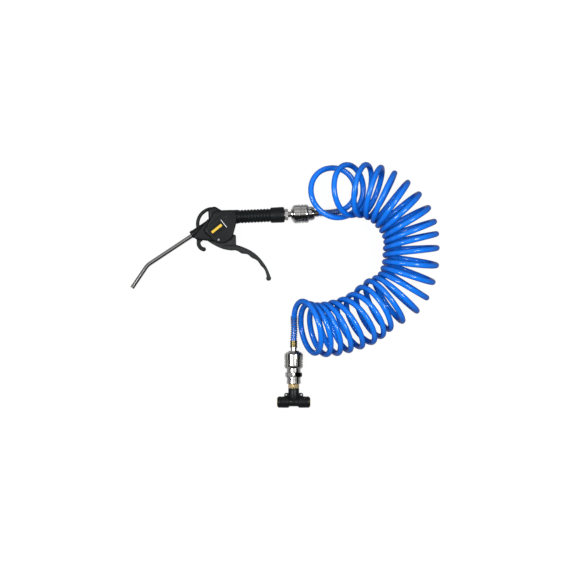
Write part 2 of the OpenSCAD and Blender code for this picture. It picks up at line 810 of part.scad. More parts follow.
// plunger held open by the plug: a slotted crown in front of a disc
module check_valve() {
    crown_r = nose_d / 2 - 0.6;
    difference() {
        turned([
            [crown_r - 1, crown_s], [crown_r, crown_s], [crown_r, disc_s], [check_r, disc_s],
            [check_r, disc_s + disc_t], [pip_r, disc_s + disc_t], [pip_r, disc_s + disc_t + 1.2],
            [0, disc_s + disc_t + 1.2], [0, disc_s], [crown_r - 1, disc_s]
        ]);
        for (a = [0, 90])
            rotate([a, 0, 0])
                translate([crown_s - 0.5, -1, -chamber_r]) cube([crown_len + 0.2, 2, 2 * chamber_r]);
    }
}

module check_spring()
    spring(disc_s + disc_t + 0.05, tail_s + 0.05, check_r - check_wire / 2 - 0.3, check_wire, 2);

module gun_coupler_body() color("silver") on_gun_coupler() coupler_body();
module gun_sleeve() color("silver") on_gun_coupler() lock_sleeve();
module gun_sleeve_spring() color("gray") on_gun_coupler() sleeve_spring();
module gun_lock_balls() color("lightgray") on_gun_coupler() lock_balls();
module gun_circlip() color("gray") on_gun_coupler() circlip();
module gun_plug_seal() color([0.08, 0.08, 0.08]) on_gun_coupler() plug_seal();
module gun_check_valve() color("goldenrod") on_gun_coupler() check_valve();
module gun_check_spring() color("gray") on_gun_coupler() check_spring();

module tee_coupler_body() color("silver") on_tee_end() coupler_body();
module tee_sleeve() color("silver") on_tee_end() lock_sleeve();
module tee_sleeve_spring() color("gray") on_tee_end() sleeve_spring();
module tee_lock_balls() color("lightgray") on_tee_end() lock_balls();
module tee_circlip() color("gray") on_tee_end() circlip();
module tee_plug_seal() color([0.08, 0.08, 0.08]) on_tee_end() plug_seal();
module tee_check_valve() color("goldenrod") on_tee_end() check_valve();
module tee_check_spring() color("gray") on_tee_end() check_spring();

// ---------- hose and its ends ----------

// adapter with a round rim behind the gun's coupler and a shank for the hose
module hose_adapter() {
    color("silver")
    on_gun_coupler()
        turned([
            [1.8, tail_s + 0.1], [tail_thread / 2, tail_s + 0.1], [tail_thread / 2, coupler_len],
            [rear_d / 2 - 0.6, coupler_len], [rear_d / 2 - 1.2, coupler_len + adapter_rim - 1],
            [hose_d / 2 + 2, coupler_len + adapter_rim], [hose_d / 2, coupler_len + adapter_rim],
            [hose_d / 2, coupler_len + adapter_rim + shank_len], [1.8, coupler_len + adapter_rim + shank_len]
        ]);
}

module ferrule(a, b) sleeve_x(a, b, ferrule_r, ferrule_r + ferrule_wall);

module gun_ferrule() {
    color([0.2, 0.2, 0.2])
    on_gun_coupler() ferrule(gun_tail_x - gun_coupler_x + 0.05, gun_ferrule_x - gun_coupler_x);
}

module tee_ferrule() {
    color("darkgoldenrod")
    on_tee_end() ferrule(tee_ferrule_s, -neck_len - flange_t - 0.05);
}

// plug at the hose's tee end: a shank in the ferrule, a small rim, and the neck and nose in the coupler
module hose_plug() {
    rim = -neck_len - flange_t;
    color("silver")
    on_tee_end()
        turned(concat(
            [
                [1.8, rim - shank_len], [hose_d / 2, rim - shank_len], [hose_d / 2, rim],
                [hose_d / 2 + 1, rim], [hose_d / 2 + 1, rim + flange_t], [neck_d / 2, rim + flange_t]
            ],
            PLUG_NOSE
        ));
}

// a place on the tee end's axis, in the row's frame
function tee_place(s) = [
    tee_x + s * cos(tee_turn - 90), tee_y + s * sin(tee_turn - 90), lay_z
];

function station(turn) = curve(STATIONS, turn / 2);
function coil_out(st) = [cos(st[2]), sin(st[2]), 0];
function coil_up(st) = [-sin(st[3]) * sin(st[2]), sin(st[3]) * cos(st[2]), cos(st[3])];
function coil_centre(st) = [st[0], st[1], coil_r * cos(st[3]) + hose_d / 2 + max(st[4], 0)];

// middle of the hose after a number of turns, counted from the tee end
function hose_point(turn) =
    let (st = station(turn), f = -90 - 360 * turn)
    coil_centre(st) + coil_r * (cos(f) * coil_out(st) + sin(f) * coil_up(st));

tee_hose_start = tee_place(-neck_len - flange_t - shank_len - 0.02);
gun_hose_start = [gun_tail_x + shank_len + 0.02, axis_y, lay_z];
TEE_LINE = concat(
    [tee_hose_start], TEE_ROUTE,
    [for (k = [0:8]) hose_point(loose_turns * k / 8)]
);
GUN_LINE = concat(
    [for (k = [0:4]) hose_point(coil_turns - loose_turns + (loose_turns - swing_turns) * k / 4)],
    GUN_ROUTE, [gun_hose_start]
);

// the coil as one thick tube of its outer size
module hose_coil() {
    n = 20;
    steps = 2 * coil_turns;
    span = coil_turns - 2 * loose_turns;
    r = coil_r + hose_d / 2;
    color([0.05, 0.35, 0.9])
    loft([for (k = [0:steps])
        let (st = station(loose_turns + span * k / steps), c = coil_centre(st))
        [for (i = [0:n - 1]) c + r * (cos(i * 360 / n) * coil_out(st) + sin(i * 360 / n) * coil_up(st))]]);
}

module hose_line(p) {
    rod(p, [for (k = [0:len(p) - 1]) unit(cross(heading(p, k), [0.3, 0.1, 1]))], hose_d / 2, 10);
}

module hose_tee_end() color([0.05, 0.35, 0.9]) hose_line(TEE_LINE);
module hose_gun_end() color([0.05, 0.35, 0.9]) hose_line(GUN_LINE);

module tee_bend_guard() {
    start = tee_place(tee_ferrule_s - guard_start);
    color("gray")
    wound(
        [start, TEE_ROUTE[1], hose_point(0), hose_point(0.0375), hose_point(0.075)],
        guard_r, guard_wire, guard_turns
    );
}

module gun_bend_guard() {
    start = [gun_ferrule_x + guard_start, axis_y, lay_z];
    color([0.25, 0.25, 0.25])
    wound(
        concat([start], [for (k = [11:-1:8]) GUN_ROUTE[k]]),
        guard_r, guard_wire, guard_turns
    );
}

// ---------- tee end ----------

module hex_adapter() {
    color("silver")
    on_tee_end() {
        difference() {
            union() {
                rod_x(tail_s + 0.1, adapter_s + 1, tail_thread / 2);
                rotate([-adapter_turn, 0, 0]) hexagon(adapter_s, socket_s, adapter_hex);
                turned([
                    [0, socket_s - 1], [socket_d / 2, socket_s - 1], [socket_d / 2, socket_s + 3],
                    [socket_d / 2 - 0.7, socket_end - 0.8], [socket_d / 2 - 1.4, socket_end], [0, socket_end]
                ]);
            }
            rod_x(tail_s - 1, socket_end + 1, 3.5);
            rod_x(socket_end - 7, socket_end + 1, stud_thread / 2 + seat_gap);
        }
    }
}

module tee_stud() {
    color("goldenrod")
    on_tee_end()
    difference() {
        union() {
            rod_x(socket_end - 6.6, stud_s + 1, stud_thread / 2);
            hexagon(stud_s + 0.05, leg_s, stud_hex);
            rod_x(leg_s - 1, leg_s + journal_len, journal_d / 2);
        }
        rod_x(socket_end - 8, leg_s + journal_len + 1, 3.2);
        sleeve_x(leg_s + 4, leg_s + 4 + ring_t + 0.2, journal_d / 2 - 1, journal_d);
    }
}

module stud_seal() {
    color([0.08, 0.08, 0.08])
    on_tee_end() rubber(leg_s + 4.1, leg_s + 4.1 + ring_t, journal_d / 2 - 0.95, journal_d / 2);
}

// one ear: a plate with a round end between the leg and a barrel
module ear(way) {
    translate([ear_s, way * ear_x, -ear_t / 2]) cylinder(h = ear_t, r = ear_r);
    translate([ear_s - ear_r, way > 0 ? 0 : -ear_x, -ear_t / 2]) cube([barrel_d / 2, ear_x, ear_t]);
    translate([ear_s, way * ear_x - ear_r, -ear_t / 2]) cube([ear_r + ear_web, 2 * ear_r, ear_t]);
}

// one push-in barrel along local +X, with a waist towards the middle of the tee
module barrel() {
    turned([
        [0, -0.5], [waist_r, -0.5], [waist_r, waist_w - 0.8], [barrel_d / 2 - 0.3, waist_w + 1.4],
        [barrel_d / 2, waist_w + 2.4], [barrel_d / 2, mouth_q - 1.8],
        [barrel_d / 2 - 0.4, mouth_q - 0.7], [barrel_d / 2 - 1, mouth_q], [0, mouth_q]
    ]);
}

module tee_body() {
    color([0.09, 0.09, 0.1])
    difference() {
        union() {
            on_tee_end()
                turned([
                    [0, leg_front], [leg_d / 2 - 0.6, leg_front], [leg_d / 2, leg_front + 0.6],
                    [leg_d / 2, run_s - 6], [waist_r, run_s - 2], [waist_r, run_s], [0, run_s]
                ]);
            on_port(1) barrel();
            on_port(-1) barrel();
            on_tee_end() ear(1);
            on_tee_end() ear(-1);
        }
        on_tee_end() rod_x(leg_s - 1, leg_s + journal_len + 0.6, journal_d / 2 + run_gap);
        on_tee_end() rod_x(leg_s, run_s, 3);
        for (way = [1, -1]) {
            on_port(way) rod_x(0, stop_q + 1, 3);
            on_port(way) rod_x(stop_q, barrel_len + 1, tube_d / 2 + run_gap);
            on_port(way) rod_x(seal_q, grip_q, tube_d / 2 + 1.6);
            on_port(way) rod_x(grip_q - 0.1, barrel_len + 1, cartridge_out + seat_gap);
            on_port(way) rod_x(barrel_len, mouth_q + 1, mouth_r);
            on_tee_end() translate([ear_s, way * ear_x, -ear_t]) cylinder(h = 2 * ear_t, d = ear_hole);
        }
    }
}

module port_cartridges() {
    color("goldenrod")
    for (way = [1, -1])
        on_port(way)
            turned([
                [cartridge_in, cartridge_q], [cartridge_out, cartridge_q], [cartridge_out, barrel_len - 0.4],
                [cartridge_out - 0.4, barrel_len], [cartridge_in, barrel_len]
            ]);
}

// split rings with teeth: here a thin cone that bites into the tube
module gripper_rings() {
    color("silver")
    for (way = [1, -1])
        on_port(way)
            turned([
                [tube_d / 2 + 0.3, grip_q + 0.1], [cartridge_out - 0.1, grip_q + 0.6],
                [cartridge_out - 0.1, grip_q + 0.95], [tube_d / 2 + 0.3, grip_q + 0.5]
            ]);
}

module port_seals() {
    color([0.08, 0.08, 0.08])
    for (way = [1, -1])
        on_port(way) rubber(seal_q + 0.1, seal_q + 0.1 + ring_t, tube_d / 2 + run_gap, tube_d / 2 + 1.55);
}

// release collet: a tube in the cartridge with a flange outside the barrel
module collet(way) {
    on_port(way)
        turned([
            [collet_r, collet_q], [collet_r + collet_wall, collet_q], [collet_r + collet_wall, rim_q],
            [rim_r, rim_q], [rim_r, rim_q + rim_t], [collet_r, rim_q + rim_t]
        ]);
}

module left_collet() color("goldenrod") collet(-1);
module right_collet() color("goldenrod") collet(1);

gun_body();
nozzle_tube();
nozzle_seal();
thread_insert();
valve_gland();
stem_seal();
valve_seat();
valve_stem();
valve_poppet();
poppet_spring();
trigger_lever();
trigger_pin();
gun_plug();
plug_washer();
gun_coupler_body();
gun_sleeve();
gun_sleeve_spring();
gun_lock_balls();
gun_circlip();
gun_plug_seal();
gun_check_valve();
gun_check_spring();
hose_adapter();
gun_ferrule();
gun_bend_guard();
hose_coil();
hose_gun_end();
hose_tee_end();
tee_bend_guard();
tee_ferrule();
hose_plug();
tee_coupler_body();
tee_sleeve();
tee_sleeve_spring();
tee_lock_balls();
tee_circlip();
tee_plug_seal();
tee_check_valve();
tee_check_spring();
hex_adapter();
tee_stud();
stud_seal();
tee_body();
port_cartridges();
gripper_rings();
port_seals();
left_collet();
right_collet();
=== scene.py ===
"""Spiral air hose with a blow gun, two quick couplers and a push-in tee on a pale table."""

import json
import math

import bmesh
import bpy
from mathutils import Matrix, Vector


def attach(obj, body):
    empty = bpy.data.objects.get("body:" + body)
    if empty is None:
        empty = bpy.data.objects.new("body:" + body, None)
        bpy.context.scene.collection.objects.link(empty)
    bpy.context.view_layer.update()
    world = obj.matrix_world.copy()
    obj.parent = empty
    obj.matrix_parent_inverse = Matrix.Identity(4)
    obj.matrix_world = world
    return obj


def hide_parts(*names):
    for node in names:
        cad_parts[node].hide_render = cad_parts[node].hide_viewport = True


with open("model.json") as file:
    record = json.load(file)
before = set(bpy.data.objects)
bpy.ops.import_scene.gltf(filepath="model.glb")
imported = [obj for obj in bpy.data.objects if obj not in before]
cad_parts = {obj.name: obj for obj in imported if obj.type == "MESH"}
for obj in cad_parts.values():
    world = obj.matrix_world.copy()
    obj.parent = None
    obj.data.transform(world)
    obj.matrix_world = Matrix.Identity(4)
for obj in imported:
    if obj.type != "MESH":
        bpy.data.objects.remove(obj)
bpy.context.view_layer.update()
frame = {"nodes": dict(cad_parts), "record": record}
nodes = frame["nodes"]

MM = 0.001

# ---------------------------------------------------------------- camera

VIEW_CENTRE = (85.65, -79.7)
VIEW_WIDTH = 798.0
VIEW_ROLL = -2.5
CAMERA_HEIGHT = 6000.0
SENSOR_WIDTH = 36.0


def show(thing):
    """Puts an object in the scene."""
    bpy.context.scene.collection.objects.link(thing)


def set_camera():
    """One long lens straight above the table, rolled a little."""
    lens = bpy.data.cameras.new("camera")
    lens.sensor_width = SENSOR_WIDTH
    lens.lens = SENSOR_WIDTH * CAMERA_HEIGHT / VIEW_WIDTH
    lens.clip_start = 0.5
    lens.clip_end = 30.0
    camera = bpy.data.objects.new("camera", lens)
    camera.location = (VIEW_CENTRE[0] * MM, VIEW_CENTRE[1] * MM, CAMERA_HEIGHT * MM)
    camera.rotation_euler = (0, 0, math.radians(VIEW_ROLL))
    show(camera)
    bpy.context.scene.camera = camera


set_camera()

# ---------------------------------------------------------------- node groups and materials


def new_group(name, inputs, outputs):
    """A shader node group with named inputs and outputs."""
    tree = bpy.data.node_groups.new(name, "ShaderNodeTree")
    for label, kind, value in inputs:
        socket = tree.interface.new_socket(label, in_out="INPUT", socket_type=kind)
        if value is not None:
            socket.default_value = value
    for label, kind in outputs:
        tree.interface.new_socket(label, in_out="OUTPUT", socket_type=kind)
    return tree, tree.nodes.new("NodeGroupInput"), tree.nodes.new("NodeGroupOutput")


def build_grain():
    """Fine moulded grain: a height and a slow drift of tone."""
    tree, given, out = new_group(
        "grain",
        [
            ("Place", "NodeSocketVector", None),
            ("Fine", "NodeSocketFloat", 1500.0),
            ("Broad", "NodeSocketFloat", 60.0),
        ],
        [("Height", "NodeSocketFloat"), ("Drift", "NodeSocketFloat")],
    )
    fine = tree.nodes.new("ShaderNodeTexNoise")
    fine.inputs["Detail"].default_value = 3.0
    broad = tree.nodes.new("ShaderNodeTexNoise")
    broad.inputs["Detail"].default_value = 4.0
    tree.links.new(given.outputs["Place"], fine.inputs["Vector"])
    tree.links.new(given.outputs["Fine"], fine.inputs["Scale"])
    tree.links.new(given.outputs["Place"], broad.inputs["Vector"])
    tree.links.new(given.outputs["Broad"], broad.inputs["Scale"])
    tree.links.new(fine.outputs["Fac"], out.inputs["Height"])
    tree.links.new(broad.outputs["Fac"], out.inputs["Drift"])
    return tree


def build_scratches():
    """Hair scratches of handling: stretched noise thinned to a few lines."""
    tree, given, out = new_group(
        "scratches",
        [("Place", "NodeSocketVector", None), ("Scale", "NodeSocketFloat", 300.0)],
        [("Lines", "NodeSocketFloat")],
    )
    drawn = tree.nodes.new("ShaderNodeMapping")
    drawn.inputs["Scale"].default_value = (0.12, 1.0, 1.0)
    drawn.inputs["Rotation"].default_value = (0.2, 0.4, 0.9)
    noise = tree.nodes.new("ShaderNodeTexNoise")
    noise.inputs["Detail"].default_value = 6.0
    thin = tree.nodes.new("ShaderNodeMapRange")
    thin.inputs["From Min"].default_value = 0.60
    thin.inputs["From Max"].default_value = 0.72
    tree.links.new(given.outputs["Place"], drawn.inputs["Vector"])
    tree.links.new(drawn.outputs["Vector"], noise.inputs["Vector"])
    tree.links.new(given.outputs["Scale"], noise.inputs["Scale"])
    tree.links.new(noise.outputs["Fac"], thin.inputs["Value"])
    tree.links.new(thin.outputs["Result"], out.inputs["Lines"])
    return tree


GRAIN = build_grain()
SCRATCHES = build_scratches()


class Finish:
    """A material under way: its tree, its shader and the place socket that patterns read."""

    def __init__(self, name, colour, roughness, metallic=0.0):
        self.material = bpy.data.materials.new(name)
        self.material.use_nodes = True
        self.tree = self.material.node_tree
        self.shader = self.tree.nodes["Principled BSDF"]
        self.shader.inputs["Base Color"].default_value = (*colour, 1.0)
        self.shader.inputs["Roughness"].default_value = roughness
        self.shader.inputs["Metallic"].default_value = metallic
        self.colour = colour
        self.place = self.tree.nodes.new("ShaderNodeTexCoord").outputs["Object"]

    def link(self, source, target):
        self.tree.links.new(source, target)

    def node(self, kind, **values):
        """A node with its numbers; an underscore stands for a space in a socket's name."""
        node = self.tree.nodes.new(kind)
        for label, value in values.items():
            node.inputs[label.replace("_", " ")].default_value = value
        return node

    def group(self, tree, **values):
        """A node group with its numbers, reading the piece's own coordinates."""
        group = self.tree.nodes.new("ShaderNodeGroup")
        group.node_tree = tree
        for label, value in values.items():
            group.inputs[label].default_value = value
        self.link(self.place, group.inputs["Place"])
        return group

    def ramp(self, source, low, high, target):
        """Sends a mask to a number socket of the shader, spread from low to high."""
        spread = self.node("ShaderNodeMapRange", To_Min=low, To_Max=high)
        self.link(source, spread.inputs["Value"])
        self.link(spread.outputs["Result"], self.shader.inputs[target])

    def blend(self, mask, first, second):
        """Mixes two colours by a mask; the first is a socket or a value, the second a value."""
        mix = self.tree.nodes.new("ShaderNodeMix")
        mix.data_type = "RGBA"
        if isinstance(first, tuple):
            mix.inputs[6].default_value = (*first, 1.0)
        else:
            self.link(first, mix.inputs[6])
        mix.inputs[7].default_value = (*second, 1.0)
        self.link(mask, mix.inputs[0])
        return mix.outputs[2]

    def tint(self, mask, other):
        """Mixes the base colour with another by a mask."""
        self.link(self.blend(mask, self.colour, other), self.shader.inputs["Base Color"])

    def bump(self, height, strength, distance):
        """Bends the normal by a height, which is given in metres."""
        node = self.node("ShaderNodeBump", Strength=strength, Distance=distance)
        self.link(height, node.inputs["Height"])
        self.link(node.outputs["Normal"], self.shader.inputs["Normal"])


def moulded(name, colour, lighter, roughness, fine):
    """Moulded plastic with a fine grain and slightly uneven gloss."""
    f = Finish(name, colour, roughness)
    f.shader.inputs["Specular IOR Level"].default_value = 0.17
    grain = f.group(GRAIN, Fine=fine, Broad=45.0)
    f.tint(grain.outputs["Drift"], lighter)
    f.ramp(grain.outputs["Drift"], roughness - 0.07, roughness + 0.07, "Roughness")
    f.bump(grain.outputs["Height"], 0.25, 0.00008)
    return f.material


def metal(name, colour, darker, roughness, scratch, depth=0.04):
    """Turned or plated metal with hair scratches and a little tarnish."""
    f = Finish(name, colour, roughness, 1.0)
    grain = f.group(GRAIN, Fine=900.0, Broad=120.0)
    lines = f.group(SCRATCHES, Scale=scratch)
    f.tint(grain.outputs["Drift"], darker)
    f.ramp(lines.outputs["Lines"], roughness, 1.6 * roughness, "Roughness")
    f.bump(lines.outputs["Lines"], depth, 0.00002)
    return f.material


def glossy_hose():
    """Blue polyurethane, glossy. Painted shade deepens its colour seen edge on, along with the
    deeper blue of the longer path through its wall; in a mirror image it is painted dim.
    """
    f = Finish("hose_blue", (0.004, 0.15, 0.74), 0.2)
    grain = f.group(GRAIN, Fine=700.0, Broad=35.0)
    blue = f.blend(grain.outputs["Drift"], f.colour, (0.006, 0.19, 0.82))
    # painted shade: the colour deepens towards the edges seen edge on, partly the deeper blue of a
    # longer path through the wall and partly painted shade
    edge = f.node("ShaderNodeLayerWeight", Blend=0.4)
    deep = f.blend(edge.outputs["Facing"], blue, (0.0, 0.06, 0.33))
    # painted reflection: seen in a mirror image the hose is nearly black, so it mirrors dimly in
    # its own turns and in the chrome
    rays = f.node("ShaderNodeLightPath")
    painted_dim_reflection = f.blend(rays.outputs["Is Glossy Ray"], deep, (0.0, 0.02, 0.07))
    f.link(painted_dim_reflection, f.shader.inputs["Base Color"])
    f.ramp(grain.outputs["Drift"], 0.1, 0.2, "Roughness")
    f.bump(grain.outputs["Drift"], 0.05, 0.0004)
    f.shader.inputs["IOR"].default_value = 1.45
    return f.material


# moulded: colour, colour it drifts to, roughness, grain; metal: the same, scratches, their depth
GUN_BLACK = moulded("gun_plastic", (0.003, 0.0042, 0.0046), (0.008, 0.01, 0.0106), 0.42, 1600.0)
LEVER_BLACK = moulded("lever_plastic", (0.0115, 0.013, 0.014), (0.02, 0.0225, 0.0235), 0.42, 1600.0)
TEE_BLACK = moulded("tee_plastic", (0.004, 0.0048, 0.0052), (0.0085, 0.01, 0.0105), 0.36, 1800.0)
RUBBER = moulded("rubber", (0.012, 0.012, 0.012), (0.02, 0.02, 0.02), 0.6, 900.0)
LABEL_FILM = moulded("label_film", (0.0015, 0.0015, 0.002), (0.003, 0.003, 0.004), 0.5, 900.0)
LABEL_YELLOW = moulded("label_yellow", (0.75, 0.5, 0.06), (0.65, 0.42, 0.04), 0.35, 900.0)
LABEL_WHITE = moulded("label_white", (0.7, 0.7, 0.7), (0.6, 0.6, 0.6), 0.35, 900.0)
CHROME = metal("chrome", (0.72, 0.71, 0.69), (0.62, 0.61, 0.6), 0.04, 300.0, 0.01)
STEEL = metal("bright_steel", (0.5, 0.5, 0.49), (0.38, 0.38, 0.37), 0.2, 500.0)
NOZZLE_STEEL = metal("nozzle_steel", (0.45, 0.45, 0.445), (0.39, 0.39, 0.385), 0.13, 60.0, 0.002)
SPRING = metal("spring_steel", (0.2, 0.23, 0.28), (0.14, 0.16, 0.2), 0.34, 600.0)
BLACK_STEEL = metal("black_steel", (0.3, 0.3, 0.29), (0.2, 0.2, 0.195), 0.3, 600.0)
BRASS = metal("brass", (0.56, 0.4, 0.14), (0.42, 0.28, 0.09), 0.22, 400.0)
OLD_BRASS = metal("old_brass", (0.21, 0.17, 0.07), (0.14, 0.11, 0.045), 0.34, 400.0)
# a lighter copy of the brass for the stud: painted highlight, standing in for the light its flats
# catch
BRASS_PAINTED_LIT = metal("brass_painted_lit", (0.8, 0.62, 0.34), (0.68, 0.5, 0.25), 0.36, 400.0)
HOSE_BLUE = glossy_hose()

BY_SLOT = {
    "gun_plastic": GUN_BLACK,
    "tee_plastic": TEE_BLACK,
    "rubber": RUBBER,
    "chrome": CHROME,
    "bright_steel": STEEL,
    "spring_steel": SPRING,
    "black_steel": BLACK_STEEL,
    "brass": BRASS,
    "hose_blue": HOSE_BLUE,
}

for subpart in frame["record"]["subparts"]:
    solid = nodes[subpart["node"]].data
    solid.materials.clear()
    solid.materials.append(BY_SLOT[subpart["material_slot"]])

# ---------------------------------------------------------------- hose

HOSE_D = 8.0
COIL_R = 36.0
SWING_TURN = 23.7
LAY_Z = 13.0
AXIS_Y = 18.5
TEE_TURN = math.radians(-92.5)
# every second turn: x, y, direction outwards, forward lean, lift
STATIONS = [
    (111.5, -138.5, -82, 25, 8.5),
    (134, -144.1, -74.5, 24, 0),
    (160.5, -140.6, -65.6, 18.8, 0),
    (190, -131.2, -60.1, 23.6, 0),
    (215, -113.2, -61.7, 16.8, 0),
    (244.5, -96, -41.4, 7.1, 0),
    (259.1, -67.5, -18.8, 1.3, 0),
    (263.2, -34.5, 4, 3, 0),
    (261.8, -8, 19.6, 1.7, 0),
    (246.8, 19.2, 41.1, 1, 0),
    (223.5, 40, 62.2, 9.7, 0),
    (192.6, 48.4, 75.2, 29.1, 0),
    (153.5, 45.5, 94, 78, 0),
]
GUN_ROUTE = [
    (158, 81.6, 12.4), (169.5, 79.8, 9.4), (179.8, 73.8, 7), (187, 64.6, 5.4),
    (190.6, 53.6, 4.6), (190, 42.3, 4.2), (185.8, 32.2, 4.4), (178.3, 24.6, 5.6),
    (169, 20, 7.8), (159.5, 18.4, 10.6), (151.5, 18.5, 12.5), (144, 18.5, 13),
]
GUN_TAIL_X = 136.4
TEE_FRONT = (93.7, -173.7)
TEE_TAIL_S = -11.65
TEE_ROUTE = [(94.5, -155, 13), (94.9, -149, 12.9)]


def on_curve(points, u):
    """A place on the smooth curve through the points, u from 0 to one less than their number."""
    i = min(int(u), len(points) - 2)
    t = u - i
    a, b, c, d = (points[min(max(i + k, 0), len(points) - 1)] for k in (-1, 0, 1, 2))
    return [
        0.5 * (2 * q + (r - p) * t + (2 * p - 5 * q + 4 * r - s) * t * t
               + (3 * q - p - 3 * r + s) * t ** 3)
        for p, q, r, s in zip(a, b, c, d)
    ]


def hose_point(turn):
    """The middle of the hose after some turns from the tee end, in millimetres."""
    x, y, yaw, lean, lift = on_curve(STATIONS, turn / 2)
    yaw, lean, phase = math.radians(yaw), math.radians(lean), math.radians(-90 - 360 * turn)
    out = Vector((math.cos(yaw), math.sin(yaw), 0))
    up = Vector((
        -math.sin(lean) * math.sin(yaw), math.sin(lean) * math.cos(yaw), math.cos(lean),
    ))
    centre = Vector((x, y, COIL_R * math.cos(lean) + HOSE_D / 2 + max(lift, 0)))
    return centre + COIL_R * (math.cos(phase) * out + math.sin(phase) * up)


def tee_place(s, side=0.0):
    """A place on the tee end: s along its axis from the sleeve's front, then sideways."""
    along = Vector((math.cos(TEE_TURN), math.sin(TEE_TURN), 0))
    across = Vector((-along.y, along.x, 0))
    return Vector((*TEE_FRONT, LAY_Z)) + s * along + side * across


def length_of(path):
    """The length of a path of points."""
    return sum((b - a).length for a, b in zip(path, path[1:]))


def eased(path, span, step, passes):
    """Evens out the first stretch of a path; the effect fades out over its last third."""
    plain, far, i = [path[0]], 0.0, 0
    count = int(span / step)
    for k in range(1, count):
        while far + (path[i + 1] - path[i]).length < k * step:
            far += (path[i + 1] - path[i]).length
            i += 1
        t = (k * step - far) / (path[i + 1] - path[i]).length
        plain.append(path[i] + (path[i + 1] - path[i]) * t)
    line = plain
    for _ in range(passes):
        middle = [(a + 2 * b + c) / 4 for a, b, c in zip(line, line[1:], line[2:])]
        line = line[:1] + middle + line[-1:]
    share = [min(max(3 * k / count - 2, 0.0), 1.0) for k in range(count)]
    share = [q * q * (3 - 2 * q) for q in share]
    return [a + (b - a) * q for a, b, q in zip(line, plain, share)] + path[i + 1:]


def hose_path():
    """From the gun's adapter, through the coil, to the plug at the tee end."""
    steps = 36
    turns = int(SWING_TURN * steps)
    path = [tee_place(TEE_TAIL_S), *(Vector(place) for place in TEE_ROUTE)]
    path += [hose_point(SWING_TURN * k / turns) for k in range(turns + 1)]
    route = [tuple(hose_point(SWING_TURN - 0.05)), tuple(hose_point(SWING_TURN)), *GUN_ROUTE]
    route.append((GUN_TAIL_X, AXIS_Y, LAY_Z))
    parts = 8
    path += [Vector(on_curve(route, 1 + k / parts)) for k in range(1, parts * (len(route) - 2) + 1)]
    path = eased(path, span=75.0, step=3.0, passes=6)
    path.reverse()
    return eased(path, span=210.0, step=3.0, passes=16)


def stretch(path, start, stop):
    """The part of a path between two distances from its first end."""
    far, part = 0.0, []
    for a, b in zip(path, path[1:]):
        if start <= far <= stop:
            part.append(a)
        far += (b - a).length
    return part


def cable(name, path, radius, material, body):
    """A round rod along a path, as one open curve."""
    line = bpy.data.curves.new(name, "CURVE")
    line.dimensions = "3D"
    line.bevel_depth = radius * MM
    line.bevel_resolution = 4
    line.use_fill_caps = True
    line.twist_mode = "MINIMUM"
    spline = line.splines.new("POLY")
    spline.points.add(len(path) - 1)
    for point, place in zip(spline.points, path):
        point.co = (*(place * MM), 1.0)
    spline.use_smooth = True
    piece = bpy.data.objects.new(name, line)
    line.materials.append(material)
    show(piece)
    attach(piece, body)
    return piece


hose_line = hose_path()
hose = cable("hose", hose_line, HOSE_D / 2, HOSE_BLUE, "hose")
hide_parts("hose_coil", "hose_gun_end", "hose_tee_end")

# ---------------------------------------------------------------- ways to build a piece

UP = Vector((0, 0, 1))
SHARP_ANGLE = 32


def place_along(origin, direction):
    """Turns local +X to a level direction and moves it to an origin, in millimetres."""
    x = Vector(direction).normalized()
    y = UP.cross(x)
    turn = Matrix((x, y, UP)).transposed().to_4x4()
    return Matrix.Translation(Vector(origin)) @ turn


AT_GRIP = place_along((0, AXIS_Y, LAY_Z), (1, 0, 0))
NOZZLE_TURN = math.radians(180 + 31)
NOZZLE_WAY = (math.cos(NOZZLE_TURN), math.sin(NOZZLE_TURN), 0)
NOZZLE_ROOT_X = -5.7
GUN_COUPLER_X = 100.1
AT_SNOUT = place_along((NOZZLE_ROOT_X, AXIS_Y - 1.2, LAY_Z), NOZZLE_WAY)
AT_NOZZLE = place_along((NOZZLE_ROOT_X, AXIS_Y - 2.4, LAY_Z), NOZZLE_WAY)
AT_GUN_COUPLER = place_along((GUN_COUPLER_X, AXIS_Y, LAY_Z), (1, 0, 0))
AT_TEE = place_along(tee_place(0), tee_place(1) - tee_place(0))
RUN_S = 70.0
AT_RIGHT_PORT = place_along(tee_place(RUN_S), tee_place(0, 1) - tee_place(0))
AT_LEFT_PORT = place_along(tee_place(RUN_S), tee_place(0, -1) - tee_place(0))


def turned(profile, place, sides, shape=None):
    """Spins (place along X, radius) points round X; shape may change a radius by its angle."""
    bm = bmesh.new()
    line = [bm.verts.new((x, r, 0)) for x, r in profile]
    edges = [bm.edges.new(pair) for pair in zip(line, line[1:])]
    bmesh.ops.spin(
        bm, geom=line + edges, cent=(0, 0, 0), axis=(1, 0, 0), dvec=(0, 0, 0),
        angle=2 * math.pi, steps=sides, use_merge=True, use_duplicate=False,
    )
    bmesh.ops.remove_doubles(bm, verts=bm.verts, dist=0.0005)
    if shape:
        for v in bm.verts:
            r = math.hypot(v.co.y, v.co.z)
            if r > 0.01:
                grown = shape(r, math.atan2(v.co.z, v.co.y)) / r
                v.co.y *= grown
                v.co.z *= grown
    bm.transform(place)
    return bm


def ring_profile(points):
    """Closes a profile, for a shape that is hollow all the way through."""
    return points + points[:1]


